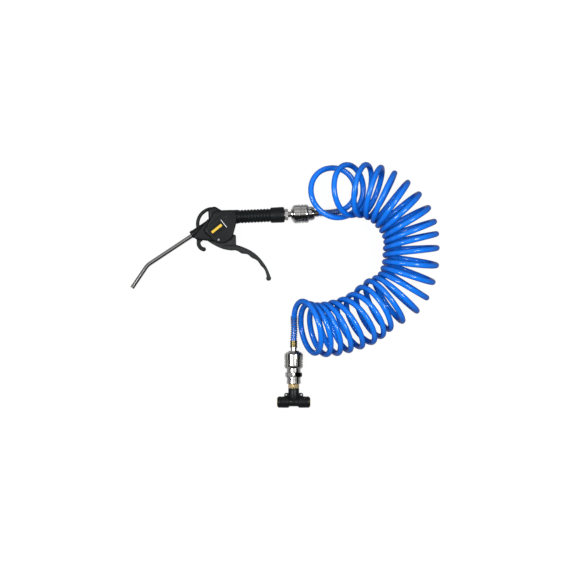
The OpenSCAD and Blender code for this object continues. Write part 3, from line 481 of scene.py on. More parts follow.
def plate(outline, low, high, edge=0.0, segments=4):
    """Extrudes an outline between two heights and rounds its upper and lower rims."""
    bm = bmesh.new()
    face = bm.faces.new([bm.verts.new((x, y, low)) for x, y in outline])
    raised = bmesh.ops.extrude_face_region(bm, geom=[face])["geom"]
    raised = [g for g in raised if isinstance(g, bmesh.types.BMVert)]
    bmesh.ops.translate(bm, vec=(0, 0, high - low), verts=raised)
    if edge:
        rims = [e for e in bm.edges if abs(e.verts[0].co.z - e.verts[1].co.z) < 0.001]
        bmesh.ops.bevel(
            bm, geom=rims, offset=edge, offset_type="OFFSET", segments=segments, profile=0.5,
            affect="EDGES", clamp_overlap=False, material=-1,
        )
    return bm


def level_plate(outline, half, edge=0.0, segments=4):
    """A plate that reaches as far above the lay height as below it."""
    return plate(outline, LAY_Z - half, LAY_Z + half, edge, segments)


def circle_outline(centre, radius, start=0, stop=360, step=10):
    """Points of an arc; a full circle doesn't repeat its first point."""
    span = stop - start
    count = round(span / step)
    angles = [math.radians(start + span * k / count) for k in range(count + (span < 360))]
    return [(centre[0] + radius * math.cos(a), centre[1] + radius * math.sin(a)) for a in angles]


def hull_outline(circles):
    """The belt round a set of circles (x, y, radius)."""
    points = sorted({p for x, y, r in circles for p in circle_outline((x, y), r, step=8)})

    def half(run):
        line = []
        for p in run:
            while len(line) > 1 and (
                (line[-1][0] - line[-2][0]) * (p[1] - line[-2][1])
                - (line[-1][1] - line[-2][1]) * (p[0] - line[-2][0])
            ) <= 0:
                line.pop()
            line.append(p)
        return line[:-1]

    return half(points) + half(points[::-1])


def skin(bm, rings):
    """Faces between neighbouring rings of points."""
    for a, b in zip(rings, rings[1:]):
        for i in range(len(a)):
            bm.faces.new((a[i - 1], a[i], b[i], b[i - 1]))


def arc_bar(centre, radius, width, thick, start, stop):
    """A rounded bar bent along an arc round a centre, lying level at the lay height."""
    bm = bmesh.new()
    rounding = 1.6
    x, z = width / 2 - rounding, thick / 2 - rounding
    corners = [(x, z, 0), (-x, z, 90), (-x, -z, 180), (x, -z, 270)]
    section = [p for x, z, a in corners for p in circle_outline((x, z), rounding, a, a + 90, 22.5)]
    face = bm.faces.new([bm.verts.new((radius + x, 0, z)) for x, z in section])
    bm.transform(Matrix.Rotation(math.radians(start), 4, "Z"))
    bmesh.ops.spin(
        bm, geom=[face, *face.edges, *face.verts], cent=(0, 0, 0), axis=(0, 0, 1), dvec=(0, 0, 0),
        angle=math.radians(stop - start), steps=max(8, int((stop - start) / 4)),
        use_merge=False, use_duplicate=False,
    )
    bm.transform(Matrix.Translation((centre[0], centre[1], LAY_Z)))
    return bm


def joined(name, shapes):
    """Joins closed shapes into one mesh and takes it from millimetres to metres."""
    whole = bmesh.new()
    for bm in shapes:
        bmesh.ops.recalc_face_normals(bm, faces=bm.faces)
        shape = bpy.data.meshes.new("shape")
        bm.to_mesh(shape)
        bm.free()
        whole.from_mesh(shape)
        bpy.data.meshes.remove(shape)
    bmesh.ops.scale(whole, vec=(MM, MM, MM), verts=whole.verts)
    mesh = bpy.data.meshes.new(name)
    whole.to_mesh(mesh)
    whole.free()
    return mesh


def add_piece(name, parts, body, sharp=SHARP_ANGLE):
    """Joins closed shapes, each with its material, into one piece that rides on a body."""
    materials = []
    for bm, material in parts:
        if material not in materials:
            materials.append(material)
        for face in bm.faces:
            face.material_index = materials.index(material)
            face.smooth = True
    mesh = joined(name, [bm for bm, _ in parts])
    for material in materials:
        mesh.materials.append(material)
    mesh.set_sharp_from_angle(angle=math.radians(sharp))
    piece = bpy.data.objects.new(name, mesh)
    show(piece)
    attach(piece, body)
    return piece


def carve(piece, cutters):
    """Cuts closed shapes out of a piece."""
    tool = bpy.data.objects.new("cutter", joined("cutter", cutters))
    show(tool)
    cut = piece.modifiers.new("cut", "BOOLEAN")
    cut.operation = "DIFFERENCE"
    cut.solver = "EXACT"
    cut.use_self = True
    cut.object = tool
    bpy.context.view_layer.update()
    depsgraph = bpy.context.evaluated_depsgraph_get()
    carved = bpy.data.meshes.new_from_object(piece.evaluated_get(depsgraph))
    piece.modifiers.clear()
    uncut, tool_mesh, name = piece.data, tool.data, piece.data.name
    piece.data = carved
    bpy.data.objects.remove(tool)
    bpy.data.meshes.remove(uncut)
    bpy.data.meshes.remove(tool_mesh)
    carved.name = name
    carved.set_sharp_from_angle(angle=math.radians(SHARP_ANGLE))


# ---------------------------------------------------------------- blow gun

HEAD_T = 26.0
WAIST = (-11.4, 8, 5.5)
HINGE = (-4, -12.6)


def nozzle_side(x):
    """The nozzle axis in plan: its Y at a place along X."""
    return AXIS_Y - (NOZZLE_ROOT_X - x) * math.tan(NOZZLE_TURN)


def layer(circles, thick, edge=3.0):
    """A level plate in the shape of a belt round circles."""
    return level_plate(hull_outline(circles), thick / 2, edge, 5)


def grip_profile():
    """The grip from inside the head over its rings to the end collar."""
    rings, start, length, outer, valley = 10, 25.0, 45.0, 9.4, 8.6
    pitch = length / rings
    profile = [(-2, 0), (-2, 9.8), (23, 9.8), (start, outer)]
    for k in range(rings):
        profile += [(start + pitch * (k + q), r) for q, r in (
            (0.28, outer), (0.38, outer - 0.2), (0.5, valley), (0.72, valley),
            (0.84, outer - 0.2), (0.95, outer),
        )]
    collar = start + length
    end = collar + 19.2
    profile += [
        (collar, outer), (collar, 10.1), (collar + 0.3, 10.5), (collar + 1, 10.75), (end - 2.2, 11),
        (end - 0.9, 10.6), (end - 0.2, 9.6), (end, 9.2), (end, 7.9), (end - 4, 7.9), (end - 4, 0),
    ]
    return profile


LABEL_COS, LABEL_SIN = 0.809, 0.587
LABEL_ALONG, LABEL_ACROSS = Vector((LABEL_COS, LABEL_SIN)), Vector((LABEL_SIN, -LABEL_COS))
LABEL_CORNER = Vector((-19.3, 1.6)) + 0.6 * LABEL_ALONG + 0.8 * LABEL_ACROSS
LABEL_LONG, LABEL_WIDE = 24.2, 13.2


def slab(corner, length, width, low, high, edge=0.0):
    """A thin rectangle on the head, turned as the label is."""
    long, wide = LABEL_ALONG.normalized() * length, LABEL_ACROSS.normalized() * width
    points = [corner, corner + long, corner + long + wide, corner + wide]
    return plate([(p.x, p.y) for p in points], low, high, edge, 2)


def ribs():
    """Fine parallel ribs on the raised plate, between the label and its rear edge."""
    slabs = []
    for k in range(8):
        far = LABEL_LONG + 0.6 + 1.8 * k
        start = max(-3.6, (LABEL_SIN * far - 20.0) / LABEL_COS)
        stop = min(LABEL_WIDE, (33.6 - 0.633 * far) / 0.83)
        corner = LABEL_CORNER + far * LABEL_ALONG + start * LABEL_ACROSS
        slabs.append(slab(corner, 0.8, stop - start, HEAD_T - 0.2, HEAD_T + 0.25, 0.2))
    return slabs


def gun_shell():
    """Head, loop boss, snout, hanging loop, hook and ringed grip, with the slot for the lever."""
    mouth = 42.5
    snout = [(0, 0), (0, 5.2), (mouth - 5, 5.2), (mouth - 4.6, 5.5), (mouth - 1, 5.5),
             (mouth - 0.2, 5.0), (mouth, 4.4), (mouth, 0)]
    hook_end = math.radians(252)
    tip = (-22.6 + 9.6 * math.cos(hook_end), -16 + 9.4 * math.sin(hook_end))
    head = [(0, 0, 17.6), (14, AXIS_Y, 9.8), (-4, 20, 8.5), WAIST, (-18, 1, 6)]
    raised = [(0, 0, 16.9), (21, 19.6, 1.8), (3.4, 21.2, 1.8), (-17.4, 5.4, 1.8)]
    brow = [(-16, nozzle_side(-16), 4.7), (-33.6, -6.6, 4.4), (-22, -2, 7.5), (-10, -6, 9)]
    shapes = [
        layer(head, HEAD_T - 2.0, 3.4),
        layer(raised, HEAD_T, 0.7),
        layer([(-11.3, 27.6, 5.6), (-8.4, 28.3, 5.6), (-2.5, 24.5, 5.5), WAIST], 20),
        layer(brow, 18, 2.6),
        turned(snout, AT_SNOUT, 48),
        arc_bar((-11, 9.7), 21.55, 4.9, 8, 92, 189),
        arc_bar((-22.8, -16), 9.6, 5.7, 10, 145, 252),
        level_plate(circle_outline(tip, 3.1, step=15), 5, 1.6, 4),
        layer([(-30.5, -9.5, 4.6), (-32, -13.5, 2.8), (-26, -7, 4)], 10, 1.6),
        turned(grip_profile(), AT_GRIP, 72),
        *ribs(),
    ]
    shell = add_piece("gun_shell", [(bm, GUN_BLACK) for bm in shapes], "gun")
    slot = [(-25, -12), (-25, -7.4), (-14, -4.2), (-4, -1.2), (28, -1.2), (28, -30), (-8, -30)]
    recess, deep = circle_outline(HINGE, 2.2), 0.7
    upper, lower = plate(recess, HEAD_T - deep, HEAD_T + 1), plate(recess, -1, deep)
    carve(shell, [level_plate(slot, 6.3), upper, lower])
    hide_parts("gun_body")


def smooth_line(points, parts):
    """A smooth curve through outline points."""
    return [tuple(on_curve(points, k / parts)) for k in range(parts * (len(points) - 1) + 1)]


LEVER_TOP = [
    (-21.5, -9.8), (-12, -9), (-2, -15), (8, -18), (17, -19.6), (23, -21.6), (30, -24.4),
    (39.5, -29.4), (49, -37), (56.5, -46.5), (62, -56), (66, -67),
]
LEVER_LOW = [
    (-22.6, -11.4), (-11, -19.6), (1, -25.6), (12, -28.2), (17.6, -28.2), (22, -29.8), (26.8, -33),
    (31, -33.8), (35.5, -35), (41, -39.8), (45, -41.8), (48.9, -44.6), (53, -51), (56, -54.4),
    (58.8, -59), (60.8, -67.5),
]


def spaced(line, count):
    """Points at even distances along a line."""
    far = [0.0]
    for (x0, y0), (x1, y1) in zip(line, line[1:]):
        far.append(far[-1] + math.hypot(x1 - x0, y1 - y0))
    even, i = [], 0
    for k in range(count + 1):
        goal = far[-1] * k / count
        while i < len(line) - 2 and far[i + 1] < goal:
            i += 1
        t = (goal - far[i]) / (far[i + 1] - far[i])
        even.append(tuple(a + (b - a) * t for a, b in zip(line[i], line[i + 1])))
    return even


def rounded_bar(lower, upper, half, rounding):
    """A bar between two edge lines in plan, its long corners rounded, its ends closed."""
    bm = bmesh.new()
    rings = []
    for (x0, y0), (x1, y1) in zip(lower, upper):
        low, high = Vector((x0, y0, LAY_Z)), Vector((x1, y1, LAY_Z))
        wide = (high - low).length / 2
        mid, side = (low + high) / 2, (high - low).normalized()
        r = min(rounding, wide * 0.9)
        ring = []
        for a, b, start in ((1, 1, 0), (-1, 1, 90), (-1, -1, 180), (1, -1, 270)):
            for k in range(6):
                f = math.radians(start + 18 * k)
                across = a * (wide - r) + r * math.cos(f)
                height = b * (half - r) + r * math.sin(f)
                ring.append(bm.verts.new(mid + across * side + height * UP))
        rings.append(ring)
    skin(bm, rings)
    bm.faces.new(rings[0])
    bm.faces.new(rings[-1])
    return bm


def lever():
    """Web in the slot, heel behind the head, and the broad waved finger rest with its ball end."""
    count = 90
    top, low = spaced(smooth_line(LEVER_TOP, 6), count), spaced(smooth_line(LEVER_LOW, 6), count)
    first = 22
    inner = [(x, y - 3.5 * max(0.0, 1 - k / 20)) for k, (x, y) in enumerate(top[first:])]
    web = [(-8, -13), (-4, -10), (6, -11), (12, -11), (18, -10), (19.5, -20), (4, -22), (-6, -18)]
    heel = [(11, -15), (16.2, -6.6), (17, -6), (19.4, -6.6), (20.2, -8), (20, -22), (6, -22)]
    shapes = [
        rounded_bar(low, top, 6, 0.6),
        rounded_bar(low[first:], inner, 8.5, 2.2),
        level_plate(circle_outline((63.2, -69.4), 3.5, step=15), 8.5, 2.2, 5),
        level_plate(circle_outline(HINGE, 6.4), 5.9, 0.4, 2),
        level_plate(circle_outline((10.1, -14.1), 4), 5.8, 0.4, 2),
        level_plate(heel, 5.95, 0.5, 2),
        level_plate(web, 5.85, 0.4, 2),
    ]
    piece = add_piece("lever", [(bm, LEVER_BLACK) for bm in shapes], "lever")
    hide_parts("trigger_lever")


def nozzle():
    """Steel tube, bent once, with an open tip."""
    bend, radius, length, tip = math.radians(22.5), 25.0, 116.0, 38.5
    sides, arc_steps = 32, 8
    tangent = radius * math.tan(bend / 2)
    line = [Vector((x, 0, 0)) for x in (30, 60, length - tangent - 1)]
    for k in range(arc_steps + 1):
        f = bend * k / arc_steps
        x = length - tangent + radius * math.sin(f)
        line.append(Vector((x, radius * (1 - math.cos(f)), 0)))
    away = Vector((math.cos(bend), math.sin(bend), 0))
    line.append(Vector((length, 0, 0)) + away * (tangent + 1))
    straight = len(line) - 1
    radii = [3.0] * len(line) + [3.0, 2.75, 2.2, 2.0, 0.0]
    line += [Vector((length, 0, 0)) + away * d for d in (tip - 0.3, tip, tip, tip - 8, tip - 8)]
    bm = bmesh.new()
    rings = []
    for k, (spot, r) in enumerate(zip(line, radii)):
        t = (line[min(k + 1, straight)] - line[max(min(k, straight) - 1, 0)]).normalized()
        side = UP.cross(t)
        rings.append([bm.verts.new(spot + r * (math.cos(a) * side + math.sin(a) * UP))
                      for a in (2 * math.pi * i / sides for i in range(sides))])
    skin(bm, rings)
    bm.faces.new(rings[0])
    bmesh.ops.remove_doubles(bm, verts=bm.verts, dist=0.0005)
    bm.transform(AT_NOZZLE)
    piece = add_piece("nozzle", [(bm, NOZZLE_STEEL)], "gun")
    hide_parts("nozzle_tube")


def head_label():
    """A dark film on the head's upper side, with a plain yellow bar and a thin white line."""
    film = slab(LABEL_CORNER, LABEL_LONG, LABEL_WIDE, HEAD_T - 0.05, HEAD_T + 0.08)
    bar_corner = LABEL_CORNER + 2.2 * LABEL_ALONG + 4.2 * LABEL_ACROSS
    bar = slab(bar_corner, 17.5, 3.4, HEAD_T, HEAD_T + 0.13)
    line = slab(LABEL_CORNER + 22.6 * LABEL_ALONG, 0.9, LABEL_WIDE, HEAD_T, HEAD_T + 0.13)
    add_piece("label", [(film, LABEL_FILM), (bar, LABEL_YELLOW), (line, LABEL_WHITE)], "gun")


def pin():
    """The lever's hinge pin, with a rivet head in each recess."""
    head = [(0.7, 1.3), (0.7, 1.7), (0.25, 1.7), (0.06, 1.45), (0.02, 0.7), (0.02, 0)]
    profile = head[::-1] + [(HEAD_T - x, r) for x, r in head]
    place = Matrix.Translation((*HINGE, 0)) @ Matrix.Rotation(math.radians(-90), 4, "Y")
    piece = add_piece("lever_pin", [(turned(profile, place, 32), STEEL)], "gun")
    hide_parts("trigger_pin")


def hexagon(flats, start):
    """Makes a round bar six-sided: a radius rule for turned()."""
    def rule(r, angle):
        a = (angle - start + math.pi / 6) % (math.pi / 3) - math.pi / 6
        return min(r, flats / 2 / math.cos(a))
    return rule


def hex_bar(a, b, flats, place, start, hole):
    """A hexagon with a hole between two places along X, its corners turned off."""
    corner = flats / math.sqrt(3)
    rim = flats / 2 + 0.1
    profile = [(a, hole), (a, rim), (a + 0.45, rim + 0.6), (a + 0.9, corner),
               (b - 0.9, corner), (b - 0.45, rim + 0.6), (b, rim), (b, hole)]
    return turned(ring_profile(profile), place, 144, hexagon(flats, start))


gun_shell()
lever()
nozzle()
head_label()
pin()

# ---------------------------------------------------------------- couplers, hose ends and tee

SLEEVE_R, SLEEVE_LEN = 13.0, 23.0
GRIP_BANDS = [(3.6, 11.2, 5), (13.4, 15.2, 1), (17.4, 19.2, 1)]  # start, end, number of rings
SLEEVE_GROOVES = [(11.4, 13.2), (15.4, 17.2)]
NECK_LEN = 5.8
COUPLER_LEN = 28.4
TAIL_IN = 24.5  # how deep a hose tail or a thread stands in a coupler
FIRM_ANGLE = 25


def sleeve(name, body, node, place):
    """Locking sleeve: rounded front, finely ringed grip bands between grooves, rounded rear rim."""
    r, end = SLEEVE_R, SLEEVE_LEN
    profile = [(0, 8.9), (0, 9.6), (0.5, 10.4), (2.2, r - 0.7), (2.7, r - 0.2), (3.3, r)]
    for a, b, rings in GRIP_BANDS:
        pitch = (b - a) / rings
        for k in range(rings):
            at = a + pitch * k
            profile += [(at + 0.5, r), (at + 0.58, r - 0.22), (at + 0.76, r - 0.22), (at + 0.84, r)]
    for a, b in SLEEVE_GROOVES:
        profile += [(a - 0.2, r), (a, r - 0.1), (a + 0.4, r - 0.7),
                    (b - 0.4, r - 0.7), (b, r - 0.1), (b + 0.2, r)]
    profile.sort()
    profile += [(end - 3.2, r), (end - 2.4, r - 0.12), (end - 1.5, r - 0.5), (end - 0.5, r - 1.1),
                (end, r - 1.7), (end, 10.9), (12, 10.9), (12, 8.7), (3, 8.7)]
    shapes = [(turned(ring_profile(profile), place, 96), CHROME)]
    piece = add_piece(name, shapes, body, FIRM_ANGLE)
    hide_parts(node)


def coupler_rear(name, body, node, place):
    """Coupler body: nose inside the sleeve, flange inside its rear, and the round rear end."""
    r = 9.9
    profile = [
        (-1.6, 5.6), (-1.6, 6.9), (-1.2, 7.5), (0.6, 8.2), (1.6, 8.3), (19.8, 8.3), (19.8, 10.75),
        (22.3, 10.75), (22.9, 10.2), (23, r), (27.4, r), (28, r - 0.3), (COUPLER_LEN, r - 0.9),
        (COUPLER_LEN, 7.1), (20, 7.1), (20, 5.6),
    ]
    shapes = [(turned(ring_profile(profile), place, 96), CHROME)]
    piece = add_piece(name, shapes, body, FIRM_ANGLE)
    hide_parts(node)


def crimped(a, b, place):
    """A ferrule pressed on in two rings, with rolled rims."""
    r = HOSE_D / 2 + 0.05
    big = r + 0.9
    span = b - a
    profile = [(a, r), (a, big - 0.3), (a + 0.3, big)]
    for q in (0.34, 0.68):
        m = a + span * q
        profile += [(m - 0.8, big), (m - 0.4, big - 0.35), (m + 0.4, big - 0.35), (m + 0.8, big)]
    profile += [(b - 0.3, big), (b, big - 0.3), (b, r)]
    return turned(ring_profile(profile), place, 64)


def wound(path, mean_r, wire, turns):
    """A spring wound round a curved line, closed at both ends."""
    steps, sides = turns * 32, 10

    def heading(points, k):
        return (points[min(k + 1, steps)] - points[max(k - 1, 0)]).normalized()

    line = [Vector(on_curve(path, (len(path) - 1) * k / steps)) for k in range(steps + 1)]
    outward = []
    for k in range(steps + 1):
        t = heading(line, k)
        w = t.cross(UP).normalized()
        f = 2 * math.pi * turns * k / steps
        outward.append(math.cos(f) * w + math.sin(f) * w.cross(t))
    centres = [spot + mean_r * out for spot, out in zip(line, outward)]
    bm = bmesh.new()
    rings = []
    for k, (centre, out) in enumerate(zip(centres, outward)):
        v = heading(centres, k).cross(out).normalized()
        rings.append([bm.verts.new(centre + wire / 2 * (math.cos(a) * out + math.sin(a) * v))
                      for a in (2 * math.pi * i / sides for i in range(sides))])
    skin(bm, rings)
    bm.faces.new(rings[0])
    bm.faces.new(rings[-1])
    return bm


# the part of a plug that stands in its coupler, round to its tip
PLUG_NOSE = [
    (0, 4.1), (0.6, 4.1), (3.2, 4.1), (4, 5.5), (7.2, 5.5), (8, 4.2), (12, 4.2), (12.6, 3.7),
]


def gun_side():
    """The gun's plug with its hexagon, the quick coupler, and the hose's adapter and ferrule."""
    hex_len, washer = 4.5, 0.6
    back = -NECK_LEN - hex_len - washer
    plug = [(back - 9, 2.5), (back - 9, 5.6), (back - 8.2, 6.3), (back + 1.6, 6.3),
            (back + 1.6, 4.1), *PLUG_NOSE, (12.6, 2.5)]
    shapes = [
        (turned(ring_profile(plug), AT_GUN_COUPLER, 64), STEEL),
        (hex_bar(back + washer, -NECK_LEN, 14, AT_GUN_COUPLER, math.pi / 6, 3.8), STEEL),
    ]
    piece = add_piece("gun_plug", shapes, "gun")
    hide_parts("gun_plug")
    sleeve("gun_sleeve", "gun_sleeve", "gun_sleeve", AT_GUN_COUPLER)
    coupler_rear("gun_coupler_rear", "hose", "gun_coupler_body", AT_GUN_COUPLER)
    end = COUPLER_LEN + 3.1
    adapter = [
        (TAIL_IN, 1.8), (TAIL_IN, 7), (COUPLER_LEN, 7), (COUPLER_LEN, 9.4), (28.6, 9.4),
        (29.2, 9.2), (30.4, 8.6), (31, 7.6), (end, 6.2), (end, 4), (end + 4.8, 4), (end + 4.8, 1.8),
    ]
    shapes = [(turned(ring_profile(adapter), AT_GUN_COUPLER, 80), CHROME)]
    piece = add_piece("gun_adapter", shapes, "hose")
    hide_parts("hose_adapter")
    shapes = [(crimped(end + 0.05, end + 5.35, AT_GUN_COUPLER), BLACK_STEEL)]
    piece = add_piece("gun_ferrule", shapes, "hose")
    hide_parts("gun_ferrule")


def tee_side():
    """The quick coupler at the tee end, and the plug and ferrule of the hose in it."""
    sleeve("tee_sleeve", "tee_sleeve", "tee_sleeve", AT_TEE)
    coupler_rear("tee_coupler_rear", "tee_coupler", "tee_coupler_body", AT_TEE)
    rim = -NECK_LEN - 1
    plug = [(rim - 4.8, 1.8), (rim - 4.8, 4), (rim, 4), (rim, 4.8), (rim + 0.25, 5),
            (rim + 0.75, 5), (rim + 1, 4.8), (rim + 1, 4.1), *PLUG_NOSE, (12.6, 1.8)]
    shapes = [(turned(ring_profile(plug), AT_TEE, 64), STEEL)]
    piece = add_piece("tee_plug", shapes, "hose")
    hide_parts("hose_plug")
    shapes = [(crimped(rim - 9.3, rim - 0.05, AT_TEE), OLD_BRASS)]
    piece = add_piece("tee_ferrule", shapes, "hose")
    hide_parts("tee_ferrule")


def guards():
    """The spring bend guards round both ends of the hose."""
    wire, turns, smooth_angle = 0.9, 12, 80
    mean_r = HOSE_D / 2 + wire / 2 + 0.12
    shapes = [(wound(stretch(hose_line, 0.9, 35.5), mean_r, wire, turns), BLACK_STEEL)]
    piece = add_piece("gun_bend_guard", shapes, "hose", smooth_angle)
    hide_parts("gun_bend_guard")
    shapes = [(wound(stretch(hose_line[::-1], 4.9, 40.0), mean_r, wire, turns), SPRING)]
    piece = add_piece("tee_bend_guard", shapes, "hose", smooth_angle)
    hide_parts("tee_bend_guard")


HEX_TURN = math.radians(8.5)
SOCKET_END = 44.7
LEG_S = 50.3
EAR_S, EAR_X, EAR_R, EAR_HOLE_R, EAR_HALF = 59.8, 10.6, 2.7, 0.9, 2.5
BARREL_R, BARREL_LEN, WAIST_R = 8.0, 21.0, 6.0


def adapter_and_stud():
    """Hexagon with a grooved round socket below it, and the brass stud that swivels in the tee."""
    end, leg = SOCKET_END, LEG_S
    socket = [
        (TAIL_IN, 3.5), (TAIL_IN, 7), (28.6, 7), (28.6, 9), (35, 9.3), (35.2, 9.8), (37.6, 9.8),
        (38, 9.3), (38.8, 9.3), (39.2, 9.8), (end - 1, 9.8), (end - 0.3, 9.3), (end, 8.6),
        (end, 6.6), (end - 7, 6.6), (end - 7, 3.5),
    ]
    shapes = [
        (turned(ring_profile(socket), AT_TEE, 96), CHROME),
        (hex_bar(28.5, 35, 22, AT_TEE, math.pi / 3 - HEX_TURN, 5), CHROME),
    ]
    piece = add_piece("hex_adapter", shapes, "tee_coupler", FIRM_ANGLE)
    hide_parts("hex_adapter")
    stud = [
        (end - 6.6, 3.2), (end - 6.6, 6.2), (end, 6.5), (end + 0.6, 6.5), (end + 0.6, 6.9),
        (leg - 0.1, 6.9), (leg, 6.4), (leg, 5), (leg + 8, 5), (leg + 8, 3.2),
    ]
    shapes = [
        (turned(ring_profile(stud), AT_TEE, 64), BRASS_PAINTED_LIT),
        (hex_bar(end + 0.3, leg, 15, AT_TEE, 0.0, 6), BRASS_PAINTED_LIT),
    ]
    piece = add_piece("tee_stud", shapes, "tee_coupler", FIRM_ANGLE)
    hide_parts("tee_stud")


def ear(way):
    """A screw ear on one side of the leg: the section of its wall led round the hole."""
    steps, r, half, foot, small = 72, EAR_R, EAR_HALF, EAR_S + 2.9, 0.4
    belt = [(EAR_S, way * EAR_X, r), (foot, way * (EAR_X + r - small), small),
            (foot, way * 4, small), (EAR_S, way * 4, r)]
    rim = [Vector(p) for p in hull_outline(belt)]
    sides = [(a, Vector((b.y - a.y, a.x - b.x))) for a, b in zip(rim, rim[1:] + rim[:1])]
    centre = Vector((EAR_S, way * EAR_X))
    bm = bmesh.new()
    walls = []
    for k in range(steps):
        f = 2 * math.pi * k / steps
        away = Vector((math.cos(f), math.sin(f)))
        reach = min(n.dot(a - centre) / n.dot(away) for a, n in sides if n.dot(away) > 0.00001)
        section = [(EAR_HOLE_R, half - 0.2), (EAR_HOLE_R + 0.2, half), (reach - 0.7, half),
                   (reach - 0.2, half - 0.2), (reach, half - 0.7)]
        section += [(x, -z) for x, z in section[::-1]]
        walls.append([bm.verts.new((*(centre + away * x), z)) for x, z in section])
    skin(bm, walls + walls[:1])
    bm.transform(AT_TEE)
    return bm


def tee():
    """Leg, two barrels with a waist, the screw ears, and what the two ports hold."""
    r, top, end, mouth = BARREL_R, LEG_S + 0.3, BARREL_LEN + 1.4, BARREL_LEN
    leg = [(top, 5.05), (top, 6.9), (top + 0.3, 7.4), (top + 0.8, 7.6), (RUN_S - 6, 7.6),
           (RUN_S - 4, 7), (RUN_S - 2, WAIST_R), (RUN_S, WAIST_R), (RUN_S, 5.05)]
    outside = [
        (0, 3), (0, WAIST_R), (5.2, WAIST_R), (5.8, WAIST_R + 0.3), (7.2, r - 0.4), (7.8, r - 0.1),
        (8.6, r), (end - 5.2, r), (end - 4.9, r - 0.25), (end - 4.5, r - 0.25), (end - 4.2, r),
        (end - 2.2, r), (end - 1.2, r - 0.3), (end - 0.4, r - 0.7), (end, r - 1.1),
    ]
    bore = [(end, 6.7), (end - 0.3, 6.5), (mouth, 6.5), (11.5, 6.4), (11.5, 5.6), (9.4, 5.6),
            (9.4, 4.05), (6, 4.05), (6, 3), (0, 3)]
    ring = [(12.8, 5.15), (12.8, 6.3), (20.5, 6.3), (20.9, 6.1), (mouth, 5.8), (mouth, 5.15)]
    collet = [(13.8, 4.05), (13.8, 5.1), (22.3, 5.1), (22.3, 5.9), (22.5, 6.15), (23.1, 6.15),
              (23.3, 5.9), (23.3, 4.5), (22.9, 4.05)]
    ports = (AT_RIGHT_PORT, AT_LEFT_PORT)
    shapes = [turned(ring_profile(leg), AT_TEE, 64)]
    shapes += [turned(outside + bore, at, 64) for at in ports]
    shapes += [ear(1), ear(-1)]
    piece = add_piece("tee_body", [(bm, TEE_BLACK) for bm in shapes], "tee")
    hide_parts("tee_body")
    shapes = [(turned(ring_profile(ring), at, 64), BRASS) for at in ports]
    piece = add_piece("port_rings", shapes, "tee")
    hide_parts("port_cartridges")
    for name, at in zip(("right_collet", "left_collet"), ports):
        shapes = [(turned(ring_profile(collet), at, 64), BRASS)]
        piece = add_piece(name, shapes, name, FIRM_ANGLE)
        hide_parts(name)


gun_side()
tee_side()
guards()
adapter_and_stud()
tee()

round(length_of(hose_line) * MM, 2)

# ---------------------------------------------------------------- table and light

TABLE_GREY = 0.55
# what the camera sees of the table is a glow, mixed by this share with the matte grey
TABLE_GLOW, GLOW_SHARE = 1.12, 0.82
# a piece mirrors the table less from this distance on, in metres, down to one less this share
FALL_NEAR, FALL_FAR, FALL_SHARE = 0.015, 0.06, 0.75
EVEN_LIGHT = 0.46
# grey tones of what the pieces mirror, as (place, tone). Across and along the room the place is
# a half plus a quarter of the distance at a height of 1; on the wall it is the height of the ray.
BOX_ACROSS = [(0.0, 0.0), (0.15, 0.03), (0.2, 0.45), (0.8, 0.45), (0.85, 0.03), (1.0, 0.0)]
BOX_ALONG = [(0.40, 0.04), (0.45, 0.8), (0.70, 1.0), (0.95, 1.0), (1.0, 0.8)]
BARS_ACROSS = [(0.36, 0.0), (0.4, 1.0), (0.58, 1.0), (0.62, 0.0)]
BARS_ALONG = [
    (0.47, 0.0), (0.485, 0.7), (0.515, 0.7), (0.53, 0.0),
    (0.63, 0.0), (0.65, 0.4), (0.69, 0.4), (0.71, 0.0),
]
WALL = [(0.0, 0.6), (0.12, 0.5), (0.2, 0.0), (1.0, 0.0)]
WALL_LEAN = 0.08  # the wall's light stands higher on one side
LEAST_HEIGHT = 0.05  # level rays are read as if they rose this much
LAMPS = {"left_lamp": (-0.9, -0.02, 1.7), "right_lamp": (1.0, -0.02, 1.7)}
LAMP_TARGET = (0.1, -0.07, 0.0)
LAMP_SIZE = (0.45, 0.6)
LAMP_POWER = 21.0


def tone_ramp(tree, source, stops):
    """Grey tones along a number."""
    node = tree.nodes.new("ShaderNodeValToRGB")
    ramp = node.color_ramp
    while len(ramp.elements) < len(stops):
        ramp.elements.new(0.5)
    for element, (place, tone) in zip(ramp.elements, stops):
        element.position = place
        element.color = (tone, tone, tone, 1)
    tree.links.new(source, node.inputs["Fac"])
    return node.outputs["Color"]


def math_node(tree, operation, first, second):
    """One sum on two numbers, each a socket or a value."""
    node = tree.nodes.new("ShaderNodeMath")
    node.operation = operation
    for socket, given in zip(node.inputs, (first, second)):
        if isinstance(given, (int, float)):
            socket.default_value = given
        else:
            tree.links.new(given, socket)
    return node.outputs[0]


def either(tree, share, first, second):
    """Mixes two shaders: none of the second where the share is 0, all of it where it is 1."""
    mix = tree.nodes.new("ShaderNodeMixShader")
    tree.links.new(share, mix.inputs["Fac"])
    tree.links.new(first, mix.inputs[1])
    tree.links.new(second, mix.inputs[2])
    return mix.outputs[0]


def plain_shader(tree, kind, tone, strength=None):
    """A shader in one grey tone."""
    shader = tree.nodes.new(kind)
    shader.inputs["Color"].default_value = (tone, tone, tone, 1)
    if strength is not None:
        shader.inputs["Strength"].default_value = strength
    return shader


